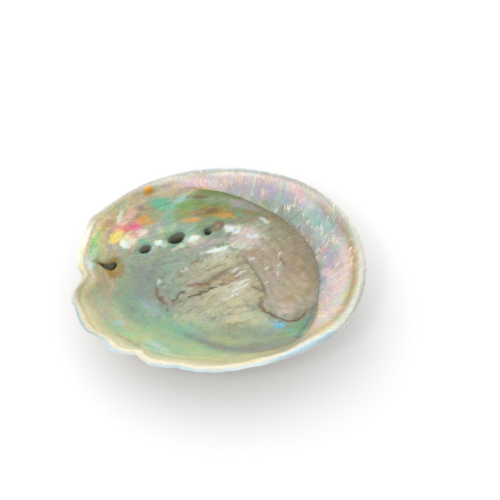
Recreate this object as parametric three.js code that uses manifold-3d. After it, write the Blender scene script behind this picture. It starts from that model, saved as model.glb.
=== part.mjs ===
// Abalone shell, lying on its domed back with the hollow side up.
//
// Millimetres, +Z up. +X points to the end that carries the spire, +Y to the side that
// carries the row of breathing holes, and the origin is under the middle of the shell.
// The wall is one closed skin: a fan of sections that all start in the middle of the
// floor, climb the inside, go round the rim and come back underneath.

import * as THREE from 'three';
import { mergeVertices } from 'three/addons/utils/BufferGeometryUtils.js';
import { NURBSCurve } from 'three/addons/curves/NURBSCurve.js';
import Module from 'manifold-3d';

// Outline of the rim, seen from above: an ellipse, made fuller or flatter in places.
// Directions are in degrees about the crown, anticlockwise from +X.
const HALF_LENGTH = 74.9;
const HALF_WIDTH = 55.4;
const RIM_SWELLS = [
  { name: 'back right', at: 46, spread: 18, out: 0.7 },
  { name: 'back left', at: 136, spread: 17, out: 0.9 },
  { name: 'left hollow', at: 175, spread: 10, out: -2.2 },
  { name: 'front hollow', at: 275, spread: 27, out: -1.6 },
  { name: 'front right', at: 325, spread: 17, out: 2.1 },
];

// Short waves of the edge alone: the notch where a new hole is forming, the tip by it,
// and the scallops that old growing edges leave.
const EDGE_WAVES = [
  { name: 'shoulder', at: 158, spread: 4, out: 1.9 },
  { name: 'notch', at: 182, spread: 4.1, out: -4.7 },
  { name: 'tip', at: 189.5, spread: 4.7, out: 1.7 },
  { name: 'broad scallop', at: 201, spread: 6.1, out: 2.8 },
  { name: 'small scallop', at: 214, spread: 3.2, out: 1.6 },
  { name: 'nick', at: 221.6, spread: 3.3, out: -2.4 },
  { name: 'shallow nick', at: 240.6, spread: 6.6, out: -1.6 },
];
const EDGE_WAVES_FROM = 0.6;

// Heights. The rim is a little higher on the side of the holes.
const RIM_HEIGHT = 38;
const RIM_TILT = 2;
const RIM_TILT_TOWARDS = 60;

// Lowest place of the dome, where the shell rests on a small worn flat.
const CROWN = { x: 8, y: 3 };
const REST_CUT = 1.2;

// Wall and rim.
const WALL = 3;
const RIM_WIDTH = 4;
const RIM_EDGE = 1.5;

// Inner shelf that overhangs the hollow, widest at the spire end.
const SHELF_TOWARDS = 3;
const SHELF_WIDTH = 20;
const SHELF_SPREAD_BACK = 92;
const SHELF_SPREAD_FRONT = 66;
const SHELF_DROP = 0.36;
const SHELF_THICKNESS = 3;
const SHELF_HOLLOW = 0.5;
const SHELF_STARTS = [-75, -25];
const SHELF_ENDS = [103, 143];

// Dome of the back: fuller under the shelf, flatter towards the notch.
const FULL_TOWARDS = 50;
const DOME_POWER = [2.2, 2.8];
const DOME_ROUND = [0.72, 0.52];
const DOME_REACH = 0.965;

// Muscle scar on the floor, a low plateau.
const SCAR = { x: 8, y: 4, halfLength: 34, halfWidth: 22, turn: 12, height: 1.2 };

// Breathing holes: place on the back, heading of the long side, size of the opening.
const HOLES = [
  { name: 'newest', x: -57.5, y: 12.5, heading: 12, long: 8.6, short: 4.4 },
  { name: 'second', x: -37.5, y: 23.5, heading: 28, long: 6.6, short: 4.6 },
  { name: 'third', x: -22, y: 30, heading: 22, long: 8.4, short: 4.4 },
  { name: 'oldest', x: -1.5, y: 34.5, heading: 12, long: 6.4, short: 3.8 },
];
const HOLE_SIDES = 14;
const HOLE_DEPTH = 16;
const HOLE_FLARE = 1.25;

// Mesh density.
const DIRECTIONS = 128;
const INNER_STEPS = 32;
const OUTER_STEPS = 12;
const OUTER_CROWDING = 0.8;

const radians = THREE.MathUtils.degToRad;
const mix = THREE.MathUtils.lerp;
const smoothstep = THREE.MathUtils.smoothstep;

// Signed difference of two directions, -180 to 180 degrees.
function apart(a, b) {
  return THREE.MathUtils.euclideanModulo(a - b + 180, 360) - 180;
}

function bell(distance, spread) {
  return Math.exp(-((distance / spread) ** 2));
}

function sumOfBells(bells, direction) {
  return bells.reduce((sum, b) => sum + b.out * bell(apart(direction, b.at), b.spread), 0);
}

// Distance from the crown to the rim: where the direction's ray meets the ellipse, and swells.
function rimReach(direction) {
  const c = Math.cos(radians(direction)) / HALF_LENGTH;
  const s = Math.sin(radians(direction)) / HALF_WIDTH;
  const x = CROWN.x / HALF_LENGTH;
  const y = CROWN.y / HALF_WIDTH;
  const along = x * c + y * s;
  const steep = c * c + s * s;
  const ellipse = (Math.sqrt(along * along - steep * (x * x + y * y - 1)) - along) / steep;
  return ellipse + sumOfBells(RIM_SWELLS, direction);
}

function rimHeight(direction) {
  return RIM_HEIGHT + RIM_TILT * Math.cos(radians(direction - RIM_TILT_TOWARDS));
}

// Height of the dome as a fraction of the rim's height, 0 at the crown and 1 at the rim.
function domeRise(fraction, direction) {
  const fullness = 0.5 + 0.5 * Math.cos(radians(direction - FULL_TOWARDS));
  const power = mix(DOME_POWER[0], DOME_POWER[1], fullness);
  const round = mix(DOME_ROUND[0], DOME_ROUND[1], fullness);
  const rise = (f) => 1 - (1 - (DOME_REACH * Math.min(f, 1)) ** power) ** round;
  return rise(fraction) / rise(1);
}

// Everything that one section needs: direction, reach from crown to rim, height of the rim.
function ray(direction) {
  const c = Math.cos(radians(direction));
  const s = Math.sin(radians(direction));
  const edge = sumOfBells(EDGE_WAVES, direction);
  return { direction, c, s, edge, reach: rimReach(direction), rim: rimHeight(direction) };
}

// A section's distance and height as a point in space, with the edge's waves near the rim.
function inSpace(r, distance, height) {
  const near = smoothstep(distance / r.reach, EDGE_WAVES_FROM, 1);
  const d = distance + r.edge * near;
  return [CROWN.x + d * r.c, CROWN.y + d * r.s, height];
}

// Back of the shell: height at a distance from the crown, cut flat at the very bottom.
function backHeight(r, distance) {
  const top = r.rim - RIM_EDGE + REST_CUT;
  return Math.max(0, top * domeRise(Math.abs(distance) / r.reach, r.direction) - REST_CUT);
}

// Inside of the plain wall: the back, moved in by the wall's thickness.
function innerPoint(r, distance) {
  const step = 0.5;
  const slope = (backHeight(r, distance + step) - backHeight(r, distance - step)) / (2 * step);
  const stretch = Math.hypot(1, slope);
  return [distance - (WALL * slope) / stretch, backHeight(r, distance) + WALL / stretch];
}

// Width of the shelf and rim together.
function shelfWidth(direction) {
  const away = apart(direction, SHELF_TOWARDS);
  return RIM_WIDTH + SHELF_WIDTH * bell(away, away > 0 ? SHELF_SPREAD_BACK : SHELF_SPREAD_FRONT);
}

// How far the shelf stands free of the wall: 1 where it overhangs, 0 where there is none.
function overhang(direction) {
  const away = apart(direction, SHELF_TOWARDS);
  return smoothstep(away, ...SHELF_STARTS) * (1 - smoothstep(away, ...SHELF_ENDS));
}

// Control points of a section with no shelf, from the middle of the floor to the rim's edge.
function plainSection(r) {
  const fractions = [0.2, 0.4, 0.58, 0.7, 0.79, 0.86, 0.91, 0.95, 0.975];
  return [
    [0, WALL],
    ...fractions.map((f) => innerPoint(r, f * r.reach)),
    [r.reach - RIM_WIDTH, r.rim - 1.6],
    [r.reach - 0.8 * RIM_WIDTH, r.rim - 0.2],
    [r.reach - 0.3 * RIM_WIDTH, r.rim + 0.2],
    [r.reach, r.rim - 0.6],
    [r.reach, r.rim - RIM_EDGE],
  ];
}

// The same number of control points for a section that runs in under the shelf and back.
function shelfSection(r) {
  const width = shelfWidth(r.direction);
  const lip = r.reach - width;
  const lipTop = r.rim - SHELF_DROP * width;
  const underside = lipTop - SHELF_THICKNESS;
  const hollow = SHELF_HOLLOW * width;
  const pocket = 0.45 * (backHeight(r, lip + hollow) + underside) + 1;
  return [
    [0, WALL],
    innerPoint(r, 0.25 * lip),
    innerPoint(r, 0.5 * lip),
    innerPoint(r, 0.8 * lip),
    innerPoint(r, lip + 0.25 * hollow + 2),
    [lip + hollow, pocket],
    [lip + 0.55 * hollow, underside - 0.3],
    [lip + 0.5, underside],
    [lip - 1, lipTop - 0.4 * SHELF_THICKNESS],
    [lip + 1.2, lipTop + 0.3],
    [lip + 0.5 * (width - RIM_WIDTH), mix(lipTop, r.rim - 1, 0.45)],
    [r.reach - 1.1 * RIM_WIDTH, r.rim - 0.9],
    [r.reach - 0.4 * RIM_WIDTH, r.rim + 0.3],
    [r.reach, r.rim - 0.4],
    [r.reach, r.rim - RIM_EDGE],
  ];
}

// Low plateau that the foot muscle leaves on the floor.
function scarHeight(x, y) {
  const c = Math.cos(radians(SCAR.turn));
  const s = Math.sin(radians(SCAR.turn));
  const along = ((x - SCAR.x) * c + (y - SCAR.y) * s) / SCAR.halfLength;
  const across = ((y - SCAR.y) * c - (x - SCAR.x) * s) / SCAR.halfWidth;
  return SCAR.height * (1 - smoothstep(Math.hypot(along, across), 0.7, 1.05));
}

// Smooth curve through a section's control points, touching the first and the last.
function smoothCurve(points) {
  const degree = 3;
  const spans = points.length - degree;
  const middle = Array.from({ length: spans - 1 }, (_, i) => (i + 1) / spans);
  const ends = [0, 1].map((value) => Array(degree + 1).fill(value));
  const knots = [...ends[0], ...middle, ...ends[1]];
  return new NURBSCurve(degree, knots, points.map(([d, z]) => new THREE.Vector4(d, z, 0, 1)));
}

// One section as points in space, from just outside the floor's middle round to the bottom.
function sectionPoints(direction) {
  const r = ray(direction);
  const free = overhang(direction);
  const plain = plainSection(r);
  const shelf = shelfSection(r);
  const control = plain.map((p, i) => [mix(p[0], shelf[i][0], free), mix(p[1], shelf[i][1], free)]);
  const curve = smoothCurve(control);
  const points = [];
  for (let i = 1; i <= INNER_STEPS; i += 1) {
    const p = curve.getPoint(i / INNER_STEPS);
    const [x, y, z] = inSpace(r, p.x, p.y);
    const onFloor = 1 - smoothstep(i / INNER_STEPS, 0.3, 0.45);
    points.push([x, y, z + onFloor * scarHeight(x, y)]);
  }
  for (let i = 1; i < OUTER_STEPS; i += 1) {
    const distance = r.reach * (1 - i / OUTER_STEPS) ** OUTER_CROWDING;
    points.push(inSpace(r, distance, backHeight(r, distance)));
  }
  return points;
}

// Closed skin: the sections side by side, with one point in the middle of each face.
function shellGeometry() {
  const sections = Array.from({ length: DIRECTIONS }, (_, i) => sectionPoints((360 * i) / DIRECTIONS));
  const rows = sections[0].length;
  const top = DIRECTIONS * rows;
  const bottom = top + 1;
  const floor = WALL + scarHeight(CROWN.x, CROWN.y);
  const positions = [...sections.flat(2), CROWN.x, CROWN.y, floor, CROWN.x, CROWN.y, 0];
  const index = [];
  for (let i = 0; i < DIRECTIONS; i += 1) {
    const a = i * rows;
    const b = ((i + 1) % DIRECTIONS) * rows;
    index.push(top, a, b);
    for (let j = 0; j < rows - 1; j += 1) {
      index.push(a + j, a + j + 1, b + j + 1, a + j, b + j + 1, b + j);
    }
    index.push(a + rows - 1, bottom, b + rows - 1);
  }
  const geometry = new THREE.BufferGeometry();
  geometry.setAttribute('position', new THREE.Float32BufferAttribute(positions, 3));
  geometry.setIndex(index);
  return geometry;
}

// Point on the back of the shell above or below a place in plan.
function backPoint(x, y) {
  const direction = THREE.MathUtils.radToDeg(Math.atan2(y - CROWN.y, x - CROWN.x));
  const distance = Math.hypot(x - CROWN.x, y - CROWN.y);
  return new THREE.Vector3(x, y, backHeight(ray(direction), distance));
}

// Flared oval plug through the wall. Its long side runs along the row of holes.
function holeGeometry({ x, y, heading, long, short }) {
  const here = backPoint(x, y);
  const step = [Math.cos(radians(heading)), Math.sin(radians(heading))];
  const along = backPoint(x + step[0], y + step[1]).sub(here).normalize();
  const sideways = backPoint(x - step[1], y + step[0]).sub(here);
  const normal = new THREE.Vector3().crossVectors(along, sideways).normalize();
  const across = new THREE.Vector3().crossVectors(along, normal);
  const plug = new THREE.CylinderGeometry(HOLE_FLARE, 1, HOLE_DEPTH, HOLE_SIDES);
  plug.scale(long / 2, 1, short / 2);
  plug.applyMatrix4(new THREE.Matrix4().makeBasis(along, normal, across));
  plug.translate(here.x, here.y, here.z);
  return plug;
}

const wasm = await Module();
wasm.setup();

// Solid for cutting, from a closed geometry.
function solid(geometry) {
  const bare = geometry.clone();
  bare.deleteAttribute('normal');
  bare.deleteAttribute('uv');
  const merged = mergeVertices(bare);
  const mesh = new wasm.Mesh({
    numProp: 3,
    vertProperties: new Float32Array(merged.attributes.position.array),
    triVerts: new Uint32Array(merged.index.array),
  });
  return new wasm.Manifold(mesh);
}

function toGeometry(manifold) {
  const mesh = manifold.getMesh();
  const geometry = new THREE.BufferGeometry();
  geometry.setAttribute('position', new THREE.BufferAttribute(mesh.vertProperties, 3));
  geometry.setIndex(new THREE.BufferAttribute(mesh.triVerts, 1));
  geometry.computeVertexNormals();
  return geometry;
}

function abaloneShell() {
  const blank = solid(shellGeometry());
  const pierced = HOLES.reduce((body, hole) => body.subtract(solid(holeGeometry(hole))), blank);
  const pearl = new THREE.MeshStandardMaterial({ color: 0xc9cdb9, roughness: 0.3, metalness: 0 });
  const mesh = new THREE.Mesh(toGeometry(pierced), pearl);
  mesh.name = 'abalone_shell';
  return mesh;
}

const part = new THREE.Group();
part.add(abaloneShell());

export default part;
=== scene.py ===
# %% [markdown]
# # An abalone shell, hollow side up
#
# An abalone grows its shell by adding material along one open edge while it slowly turns
# round a tiny spire. The result is a shallow ear-shaped bowl. Its inside is nacre, thin
# layers of clear crystal that split light into pink, green and blue. Its back is dull,
# banded and ridged. This lesson makes the shell as one closed skin of numbers: a fan of
# sections, relief pushed out of the skin, holes cut through it, and one painted material.

# %% Load the measured model
import math

import bmesh
import bpy
import numpy as np
from mathutils import Matrix, Vector


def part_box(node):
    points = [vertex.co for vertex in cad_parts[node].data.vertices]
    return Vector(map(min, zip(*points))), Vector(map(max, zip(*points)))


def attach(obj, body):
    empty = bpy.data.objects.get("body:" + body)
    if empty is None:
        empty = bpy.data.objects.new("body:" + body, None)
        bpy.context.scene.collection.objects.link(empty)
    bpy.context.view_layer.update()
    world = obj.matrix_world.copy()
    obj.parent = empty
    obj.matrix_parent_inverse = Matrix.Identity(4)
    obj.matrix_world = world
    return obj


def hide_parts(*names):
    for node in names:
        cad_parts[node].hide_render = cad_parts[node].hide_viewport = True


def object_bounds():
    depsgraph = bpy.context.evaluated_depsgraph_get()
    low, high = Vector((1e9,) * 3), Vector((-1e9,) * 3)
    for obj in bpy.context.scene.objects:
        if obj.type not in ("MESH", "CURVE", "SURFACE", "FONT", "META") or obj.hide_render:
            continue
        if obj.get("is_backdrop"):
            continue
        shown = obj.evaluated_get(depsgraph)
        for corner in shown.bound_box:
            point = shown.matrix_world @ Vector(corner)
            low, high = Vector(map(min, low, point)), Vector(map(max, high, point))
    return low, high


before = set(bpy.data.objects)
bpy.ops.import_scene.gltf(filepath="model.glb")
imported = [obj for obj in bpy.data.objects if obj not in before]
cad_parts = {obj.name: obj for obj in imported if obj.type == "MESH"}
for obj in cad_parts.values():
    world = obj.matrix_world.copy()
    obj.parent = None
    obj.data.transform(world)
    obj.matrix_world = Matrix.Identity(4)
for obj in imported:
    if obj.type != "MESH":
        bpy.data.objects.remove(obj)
CAD_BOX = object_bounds()
LOW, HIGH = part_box("abalone_shell")
print("measured shell, mm:", [round(1000 * (b - a), 1) for a, b in zip(LOW, HIGH)])

# %% [markdown]
# ## Camera
#
# The camera comes first. It stands high above the near side and looks down into the
# hollow through a long lens, so the outline keeps its true proportions. The lens shift
# slides the picture without turning the camera, which would change what is seen of the
# walls.

# %% Camera
MM = 0.001
CAMERA_TURN = math.radians(-4)
CAMERA_RISE = math.radians(68)
CAMERA_DISTANCE = 0.70
CAMERA_LENS = 100
CAMERA_SHIFT = (0.062, 0.039)


def viewing_frame(turn, rise):
    """Right, up and backward directions of a camera: turn is about Z, rise is above the floor."""
    right = Vector((math.cos(turn), math.sin(turn), 0))
    back = Vector((math.sin(turn) * math.cos(rise), -math.cos(turn) * math.cos(rise), math.sin(rise)))
    return right, back.cross(right), back


def make_camera():
    """A long lens that looks down into the hollow, aimed near the middle of the shell."""
    right, up, back = viewing_frame(CAMERA_TURN, CAMERA_RISE)
    target = Vector(((LOW.x + HIGH.x) / 2 + 0.0003, (LOW.y + HIGH.y) / 2 - 0.0018, HIGH.z - 0.002))
    data = bpy.data.cameras.new("camera")
    data.lens = CAMERA_LENS
    data.shift_x, data.shift_y = CAMERA_SHIFT
    camera = bpy.data.objects.new("camera", data)
    bpy.context.scene.collection.objects.link(camera)
    turn = Matrix((right, up, back)).transposed()
    camera.matrix_world = Matrix.Translation(target + back * CAMERA_DISTANCE) @ turn.to_4x4()
    bpy.context.scene.camera = camera
    return camera


camera = make_camera()
print("camera at", [round(v, 3) for v in camera.matrix_world.translation])

# %% [markdown]
# ## Small tools
#
# Three functions do most of the shaping: a bell for soft bumps, a smooth step for soft
# borders, and ripples for everything irregular. Ripples are a sum of a few dozen plane
# waves with random directions. They are smooth, they need no table, and a fixed seed
# makes them come out the same every time.

# %% Small tools


def bell(distance, spread):
    """Soft bump: 1 at no distance, falling off with the square of distance over spread."""
    return np.exp(-((distance / spread) ** 2))


def step(value, start, end):
    """Soft border: 0 before start, 1 after end, with no corner at either."""
    t = np.clip((value - start) / (end - start), 0, 1)
    return t * t * (3 - 2 * t)


def apart(a, b):
    """Signed difference of two directions, -180 to 180 degrees."""
    return (a - b + 180) % 360 - 180


def ripples(points, size, seed, waves=28):
    """Smooth random field, about -1 to 1: plane waves about size long, in random directions."""
    random = np.random.default_rng(seed)
    direction = random.normal(size=(waves, points.shape[-1]))
    direction /= np.linalg.norm(direction, axis=1, keepdims=True)
    length = size * random.uniform(0.6, 1.7, waves)
    shift = random.uniform(0, 2 * math.pi, waves)
    field = np.zeros(points.shape[:-1])
    for way, wave, start in zip(direction, length, shift):
        field += np.cos(points @ way * (2 * math.pi / wave) + start)
    return field * math.sqrt(2 / waves) * 0.6


# %% [markdown]
# ## Outline of the rim
#
# Seen from above the rim is an ellipse, a little fuller in places. Short waves of the edge
# alone give the notch, where the next hole is forming, the pointed tip beside it and the
# scallops of the growing side. Both lists are rounded output of a least-squares fit to a
# traced outline. They are not chosen dimensions, so don't look for a reason behind each.
# Everything is measured from the crown, the lowest place of the domed back, because all
# the sections of the shell meet there.

# %% Outline of the rim
HALF_LENGTH, HALF_WIDTH = 74.9, 55.4
CROWN = np.array([8.0, 3.0])
RIM_SWELLS = [(46, 18, 0.7), (136, 17, 0.9), (175, 10, -2.2), (275, 27, -1.6), (325, 17, 2.1)]
EDGE_WAVES = [(158, 4, 1.9), (182, 4.1, -4.7), (189.5, 4.7, 1.7), (201, 6.1, 2.8), (214, 3.2, 1.6),
              (221.6, 3.3, -2.4), (240.6, 6.6, -1.6)]
RIM_HEIGHT, RIM_TILT, RIM_TILT_TOWARDS = 38.0, 2.0, 60
RIM_EDGE = 1.5


def sum_of_bells(bells, direction):
    """Sum of soft bumps round the compass, each with a direction, a spread and a height."""
    return sum(out * bell(apart(direction, at), spread) for at, spread, out in bells)


def rim_reach(direction):
    """Distance from the crown to where the direction's ray meets the ellipse, plus swells."""
    c = np.cos(np.radians(direction)) / HALF_LENGTH
    s = np.sin(np.radians(direction)) / HALF_WIDTH
    x, y = CROWN / (HALF_LENGTH, HALF_WIDTH)
    along, steep = x * c + y * s, c * c + s * s
    ellipse = (np.sqrt(along**2 - steep * (x * x + y * y - 1)) - along) / steep
    return ellipse + sum_of_bells(RIM_SWELLS, direction)


def rim_height(direction):
    """The rim leans: it is highest on the side of the holes."""
    return RIM_HEIGHT + RIM_TILT * np.cos(np.radians(direction - RIM_TILT_TOWARDS))


compass = np.arange(0, 360, 90)
reaches = rim_reach(compass).round(1).tolist()
print("reach from the crown, mm:", dict(zip(compass.tolist(), reaches)))

# %% [markdown]
# ## Dome and wall
#
# The back is a dome, fuller under the shelf and flatter towards the notch. The inside
# follows it at the thickness of the wall. Both are needed at any distance from the crown,
# so they are plain functions of distance and direction.

# %% Dome and wall
WALL = 3.0
REST_CUT = 1.2
DOME_REACH = 0.965
FULL_TOWARDS = 50


def dome_rise(fraction, direction):
    """Height of the dome over the crown, as a share of the rim's height: a superellipse."""
    fullness = 0.5 + 0.5 * np.cos(np.radians(direction - FULL_TOWARDS))
    power, round_off = 2.2 + 0.6 * fullness, 0.72 - 0.2 * fullness
    full = 1 - (1 - DOME_REACH**power) ** round_off
    return (1 - (1 - (DOME_REACH * np.minimum(fraction, 1)) ** power) ** round_off) / full


def back_height(distance, direction):
    """Height of the shell's back, cut flat where it rests."""
    top = rim_height(direction) - RIM_EDGE + REST_CUT
    rise = dome_rise(np.abs(distance) / rim_reach(direction), direction)
    return np.maximum(0, top * rise - REST_CUT)


def inner_point(distance, direction):
    """Distance and height on the inside of the wall: the back, moved in by its thickness."""
    gap = 0.5
    rise = back_height(distance + gap, direction) - back_height(distance - gap, direction)
    slope = rise / (2 * gap)
    stretch = np.hypot(1, slope)
    return distance - WALL * slope / stretch, back_height(distance, direction) + WALL / stretch


print("height of the back half way out, mm:", round(float(back_height(35.0, 200.0)), 1))

# %% [markdown]
# ## Sections
#
# A section starts in the middle of the floor, climbs the wall and ends at the outer edge
# of the rim. On the spire's side it first runs in under a shelf, the turned-in edge that
# the animal grips, and comes back over it. Both kinds have the same number of control
# points, so one can turn into the other along the rim, and a smooth B-spline through the
# points keeps every corner soft.

# %% Sections
RIM_WIDTH = 4.0
SHELF_TOWARDS, SHELF_WIDTH, SHELF_THICKNESS, SHELF_DROP = 3, 20.0, 3.0, 0.36
SHELF_HOLLOW = 0.5
WALL_SHARES = (0.2, 0.4, 0.58, 0.7, 0.79, 0.86, 0.91, 0.95, 0.975)


def shelf_width(direction):
    """Width of shelf and rim together: widest at the spire's end, fading both ways."""
    away = apart(direction, SHELF_TOWARDS)
    return RIM_WIDTH + SHELF_WIDTH * bell(away, np.where(away > 0, 92.0, 66.0))


def overhang(direction):
    """1 where the shelf stands free of the wall, 0 where there is none."""
    away = apart(direction, SHELF_TOWARDS)
    return step(away, -75, -25) * (1 - step(away, 103, 143))


def plain_section(direction):
    """Control points with no shelf: up the wall and over the rim."""
    reach, rim = rim_reach(direction), rim_height(direction)
    points = [(0 * reach, WALL + 0 * reach)]
    points += [inner_point(share * reach, direction) for share in WALL_SHARES]
    for inset, drop in ((1, 1.6), (0.8, 0.2), (0.3, -0.2), (0, 0.6), (0, RIM_EDGE)):
        points.append((reach - inset * RIM_WIDTH, rim - drop))
    return points


def shelf_section(direction):
    """Control points that run in under the shelf, round its free lip and back to the rim."""
    reach, rim, width = rim_reach(direction), rim_height(direction), shelf_width(direction)
    lip, lip_top, hollow = reach - width, rim - SHELF_DROP * width, SHELF_HOLLOW * width
    under = lip_top - SHELF_THICKNESS
    points = [(0 * reach, WALL + 0 * reach)]
    floor_run = (0.25 * lip, 0.5 * lip, 0.8 * lip, lip + 0.25 * hollow + 2)
    points += [inner_point(distance, direction) for distance in floor_run]
    points.append((lip + hollow, 0.45 * (back_height(lip + hollow, direction) + under) + 1))
    points += [(lip + 0.55 * hollow, under - 0.3), (lip + 0.5, under)]
    points += [(lip - 1, lip_top - 0.4 * SHELF_THICKNESS), (lip + 1.2, lip_top + 0.3)]
    points.append((lip + 0.5 * (width - RIM_WIDTH), lip_top + 0.45 * (rim - 1 - lip_top)))
    for inset, drop in ((1.1, 0.9), (0.4, -0.3), (0, 0.4), (0, RIM_EDGE)):
        points.append((reach - inset * RIM_WIDTH, rim - drop))
    return points


def spline_weights(count, places):
    """Weights of count control points on a clamped cubic B-spline, at places from 0 to 1."""
    knots = np.concatenate([np.zeros(3), np.linspace(0, 1, count - 2), np.ones(3)])
    places = np.minimum(places, 1 - 1e-9)
    weights = [(knots[i] <= places) & (places < knots[i + 1]) for i in range(len(knots) - 1)]
    weights = [w.astype(float) for w in weights]
    for degree in (1, 2, 3):
        raised = []
        for i in range(len(weights) - 1):
            total = np.zeros_like(places)
            if knots[i + degree] > knots[i]:
                total += (places - knots[i]) / (knots[i + degree] - knots[i]) * weights[i]
            if knots[i + degree + 1] > knots[i + 1]:
                span = knots[i + degree + 1] - knots[i + 1]
                total += (knots[i + degree + 1] - places) / span * weights[i + 1]
            raised.append(total)
        weights = raised
    return np.array(weights)


# %% [markdown]
# ## The closed skin
#
# The grid has one column for each direction and one row for each place along a section.
# Rows lie closer where the section bends most. The same columns carry on down the back
# to the crown, so inside and back are one skin with no seam.

# %% The closed skin
DIRECTIONS = 448
INNER_ROWS, OUTER_ROWS = 150, 66
FINE_ROWS = 600
BEND_PULL = 5.0


def places_along(curve, fine):
    """Places along each section, evenly spaced in length plus BEND_PULL mm for each radian of bend."""
    chord = np.diff(curve, axis=1)
    length = np.linalg.norm(chord, axis=-1)
    heading = np.unwrap(np.arctan2(chord[..., 1], chord[..., 0]), axis=1)
    effort = length + BEND_PULL * np.abs(np.gradient(heading, axis=1))
    run = np.concatenate([np.zeros((len(curve), 1)), np.cumsum(effort, 1)], 1)
    share = np.linspace(0, 1, INNER_ROWS + 1)[1:]
    return np.array([np.interp(share * r[-1], r, fine) for r in run])


def evenly_down_the_back(rows):
    """Fractions of the reach, rim to crown, that are evenly spaced along the dome's curve."""
    fraction = np.linspace(1, 0, 400)
    height = back_height(fraction * rim_reach(200.0), 200.0)
    length = np.cumsum(np.hypot(np.diff(fraction * rim_reach(200.0)), np.diff(height)))
    length = np.concatenate([[0], length])
    return np.interp(np.linspace(0, length[-1], rows + 1)[1:-1], length, fraction)


def skin_points():
    """Distance and height of every grid point, and its place: 0 floor, 1 rim, 2 crown."""
    direction = np.arange(DIRECTIONS) * 360 / DIRECTIONS
    free = overhang(direction)
    control = (1 - free) * np.array(plain_section(direction)) + free * np.array(shelf_section(direction))
    fine = np.linspace(0, 1, FINE_ROWS)
    curve = np.einsum("kpd,kr->drp", control, spline_weights(len(control), fine))
    places = places_along(curve, fine)
    inner = np.einsum("kpd,kdr->drp", control, spline_weights(len(control), places))
    fraction = evenly_down_the_back(OUTER_ROWS)
    distance = rim_reach(direction)[:, None] * fraction
    outer = np.stack([distance, back_height(distance, direction[:, None])], -1)
    section = np.concatenate([inner, outer], 1)
    place = np.concatenate([places, 2 - fraction + 0 * distance], 1)
    return direction, section, place


def in_space(section, direction):
    """Sections as points in space, with the edge's waves let in near the rim."""
    reach = rim_reach(direction)[:, None]
    edge = sum_of_bells(EDGE_WAVES, direction)[:, None]
    distance = section[..., 0] + edge * step(section[..., 0] / reach, 0.6, 1.0)
    turn = np.radians(direction)[:, None]
    x = CROWN[0] + distance * np.cos(turn)
    y = CROWN[1] + distance * np.sin(turn)
    return np.stack([x, y, section[..., 1]], -1)


direction, section, place = skin_points()
skin = in_space(section, direction)
ROWS = skin.shape[1]
RIM_ROW = INNER_ROWS - 1
print("skin:", skin.shape[0], "columns of", ROWS, "rows, rim at row", RIM_ROW)

# %% [markdown]
# ## Maps on the skin
#
# Relief and colour need to know where they are. These maps say, for every point, how far
# it is from the rim's edge along the surface, which way it faces, and whether it belongs
# to the hollow, to the shelf or to the back.

# %% Maps on the skin


def facing(points):
    """Outward direction at every grid point: across the rows times along the columns."""
    across = np.gradient(points, axis=1)
    along = np.roll(points, -1, 0) - np.roll(points, 1, 0)
    normal = np.cross(across, along)
    return normal / np.maximum(np.linalg.norm(normal, axis=-1, keepdims=True), 1e-9)


def length_from_rim(points):
    """Distance from the rim's outer edge, along each column, in both directions."""
    steps = np.linalg.norm(np.diff(points, axis=1), axis=-1)
    run = np.concatenate([np.zeros((len(points), 1)), np.cumsum(steps, 1)], 1)
    return np.abs(run - run[:, RIM_ROW : RIM_ROW + 1])


flat_x, flat_y = skin[..., 0], skin[..., 1]
plan = skin[..., :2]
around = np.broadcast_to(direction[:, None], flat_x.shape)
from_edge = length_from_rim(skin)
is_inside = np.broadcast_to((np.arange(ROWS) <= RIM_ROW)[None, :], flat_x.shape).astype(float)
free = overhang(direction)[:, None]
LIP = 0.60
is_shelf = free * step(place, LIP - 0.03, LIP + 0.02) * is_inside
is_lip = free * bell(place - LIP, 0.028) * is_inside
is_floor = (1 - free * step(place, 0.36, 0.42)) * is_inside * step(from_edge, 3.0, 6.0)
print("shelf covers", round(100 * float((is_shelf > 0.5).mean())), "% of the grid")

# %% [markdown]
# ## Holes
#
# Each hole was once a notch in the edge. As the shell grows the notch closes into a hole,
# and the oldest holes are sealed from inside. A hole has its own small frame: one way
# along the row, one way across. Its ring value is 1 on the edge of the opening and grows
# outwards, which is all that funnels, colours and the cut need.

# %% Holes
HOLES = {
    "newest": dict(x=-55.7, y=11.8, heading=15, long=4.3, short=1.4, bend=1.6, taper=0.2),
    "second": dict(x=-36.6, y=23.0, heading=28, long=3.1, short=1.5, bend=0.0, taper=0.0),
    "third": dict(x=-20.0, y=29.2, heading=20, long=4.4, short=1.8, bend=0.2, taper=0.1),
    "oldest": dict(x=-3.0, y=32.6, heading=22, long=2.1, short=1.2, bend=0.2, taper=-0.2),
}
# How far each tunnel leans, inner mouth to outer mouth, in mm. A real hole goes straighter.
# This lean is chosen so that the tunnel wall, partly painted dark as shade at its inner mouth,
# shows from the main view, not the floor.
LEAN = (-0.3, -2.3)
HOLES_BELOW = 33


def hole_frame(hole, x, y):
    """Distances along and across a hole's own axes."""
    turn = math.radians(hole["heading"])
    dx, dy = x - hole["x"], y - hole["y"]
    along = dx * math.cos(turn) + dy * math.sin(turn)
    across = dy * math.cos(turn) - dx * math.sin(turn)
    return along, across


def hole_ring(hole, x, y):
    """Oval distance from a hole's middle, 1 on its edge; bend lifts the ends, taper fattens one."""
    along, across = hole_frame(hole, x, y)
    share = np.clip(along / hole["long"], -1.6, 1.6)
    lift = hole["bend"] * (np.minimum(share**2, 1.2) - 0.5)
    half_width = hole["short"] * (1 + hole["taper"] * share)
    return np.hypot(along / hole["long"], (across - lift) / half_width)


def on_the_back(hole):
    """The same hole where it leaves the wall, shifted by the lean."""
    return {**hole, "x": hole["x"] + LEAN[0], "y": hole["y"] + LEAN[1]}


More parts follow.
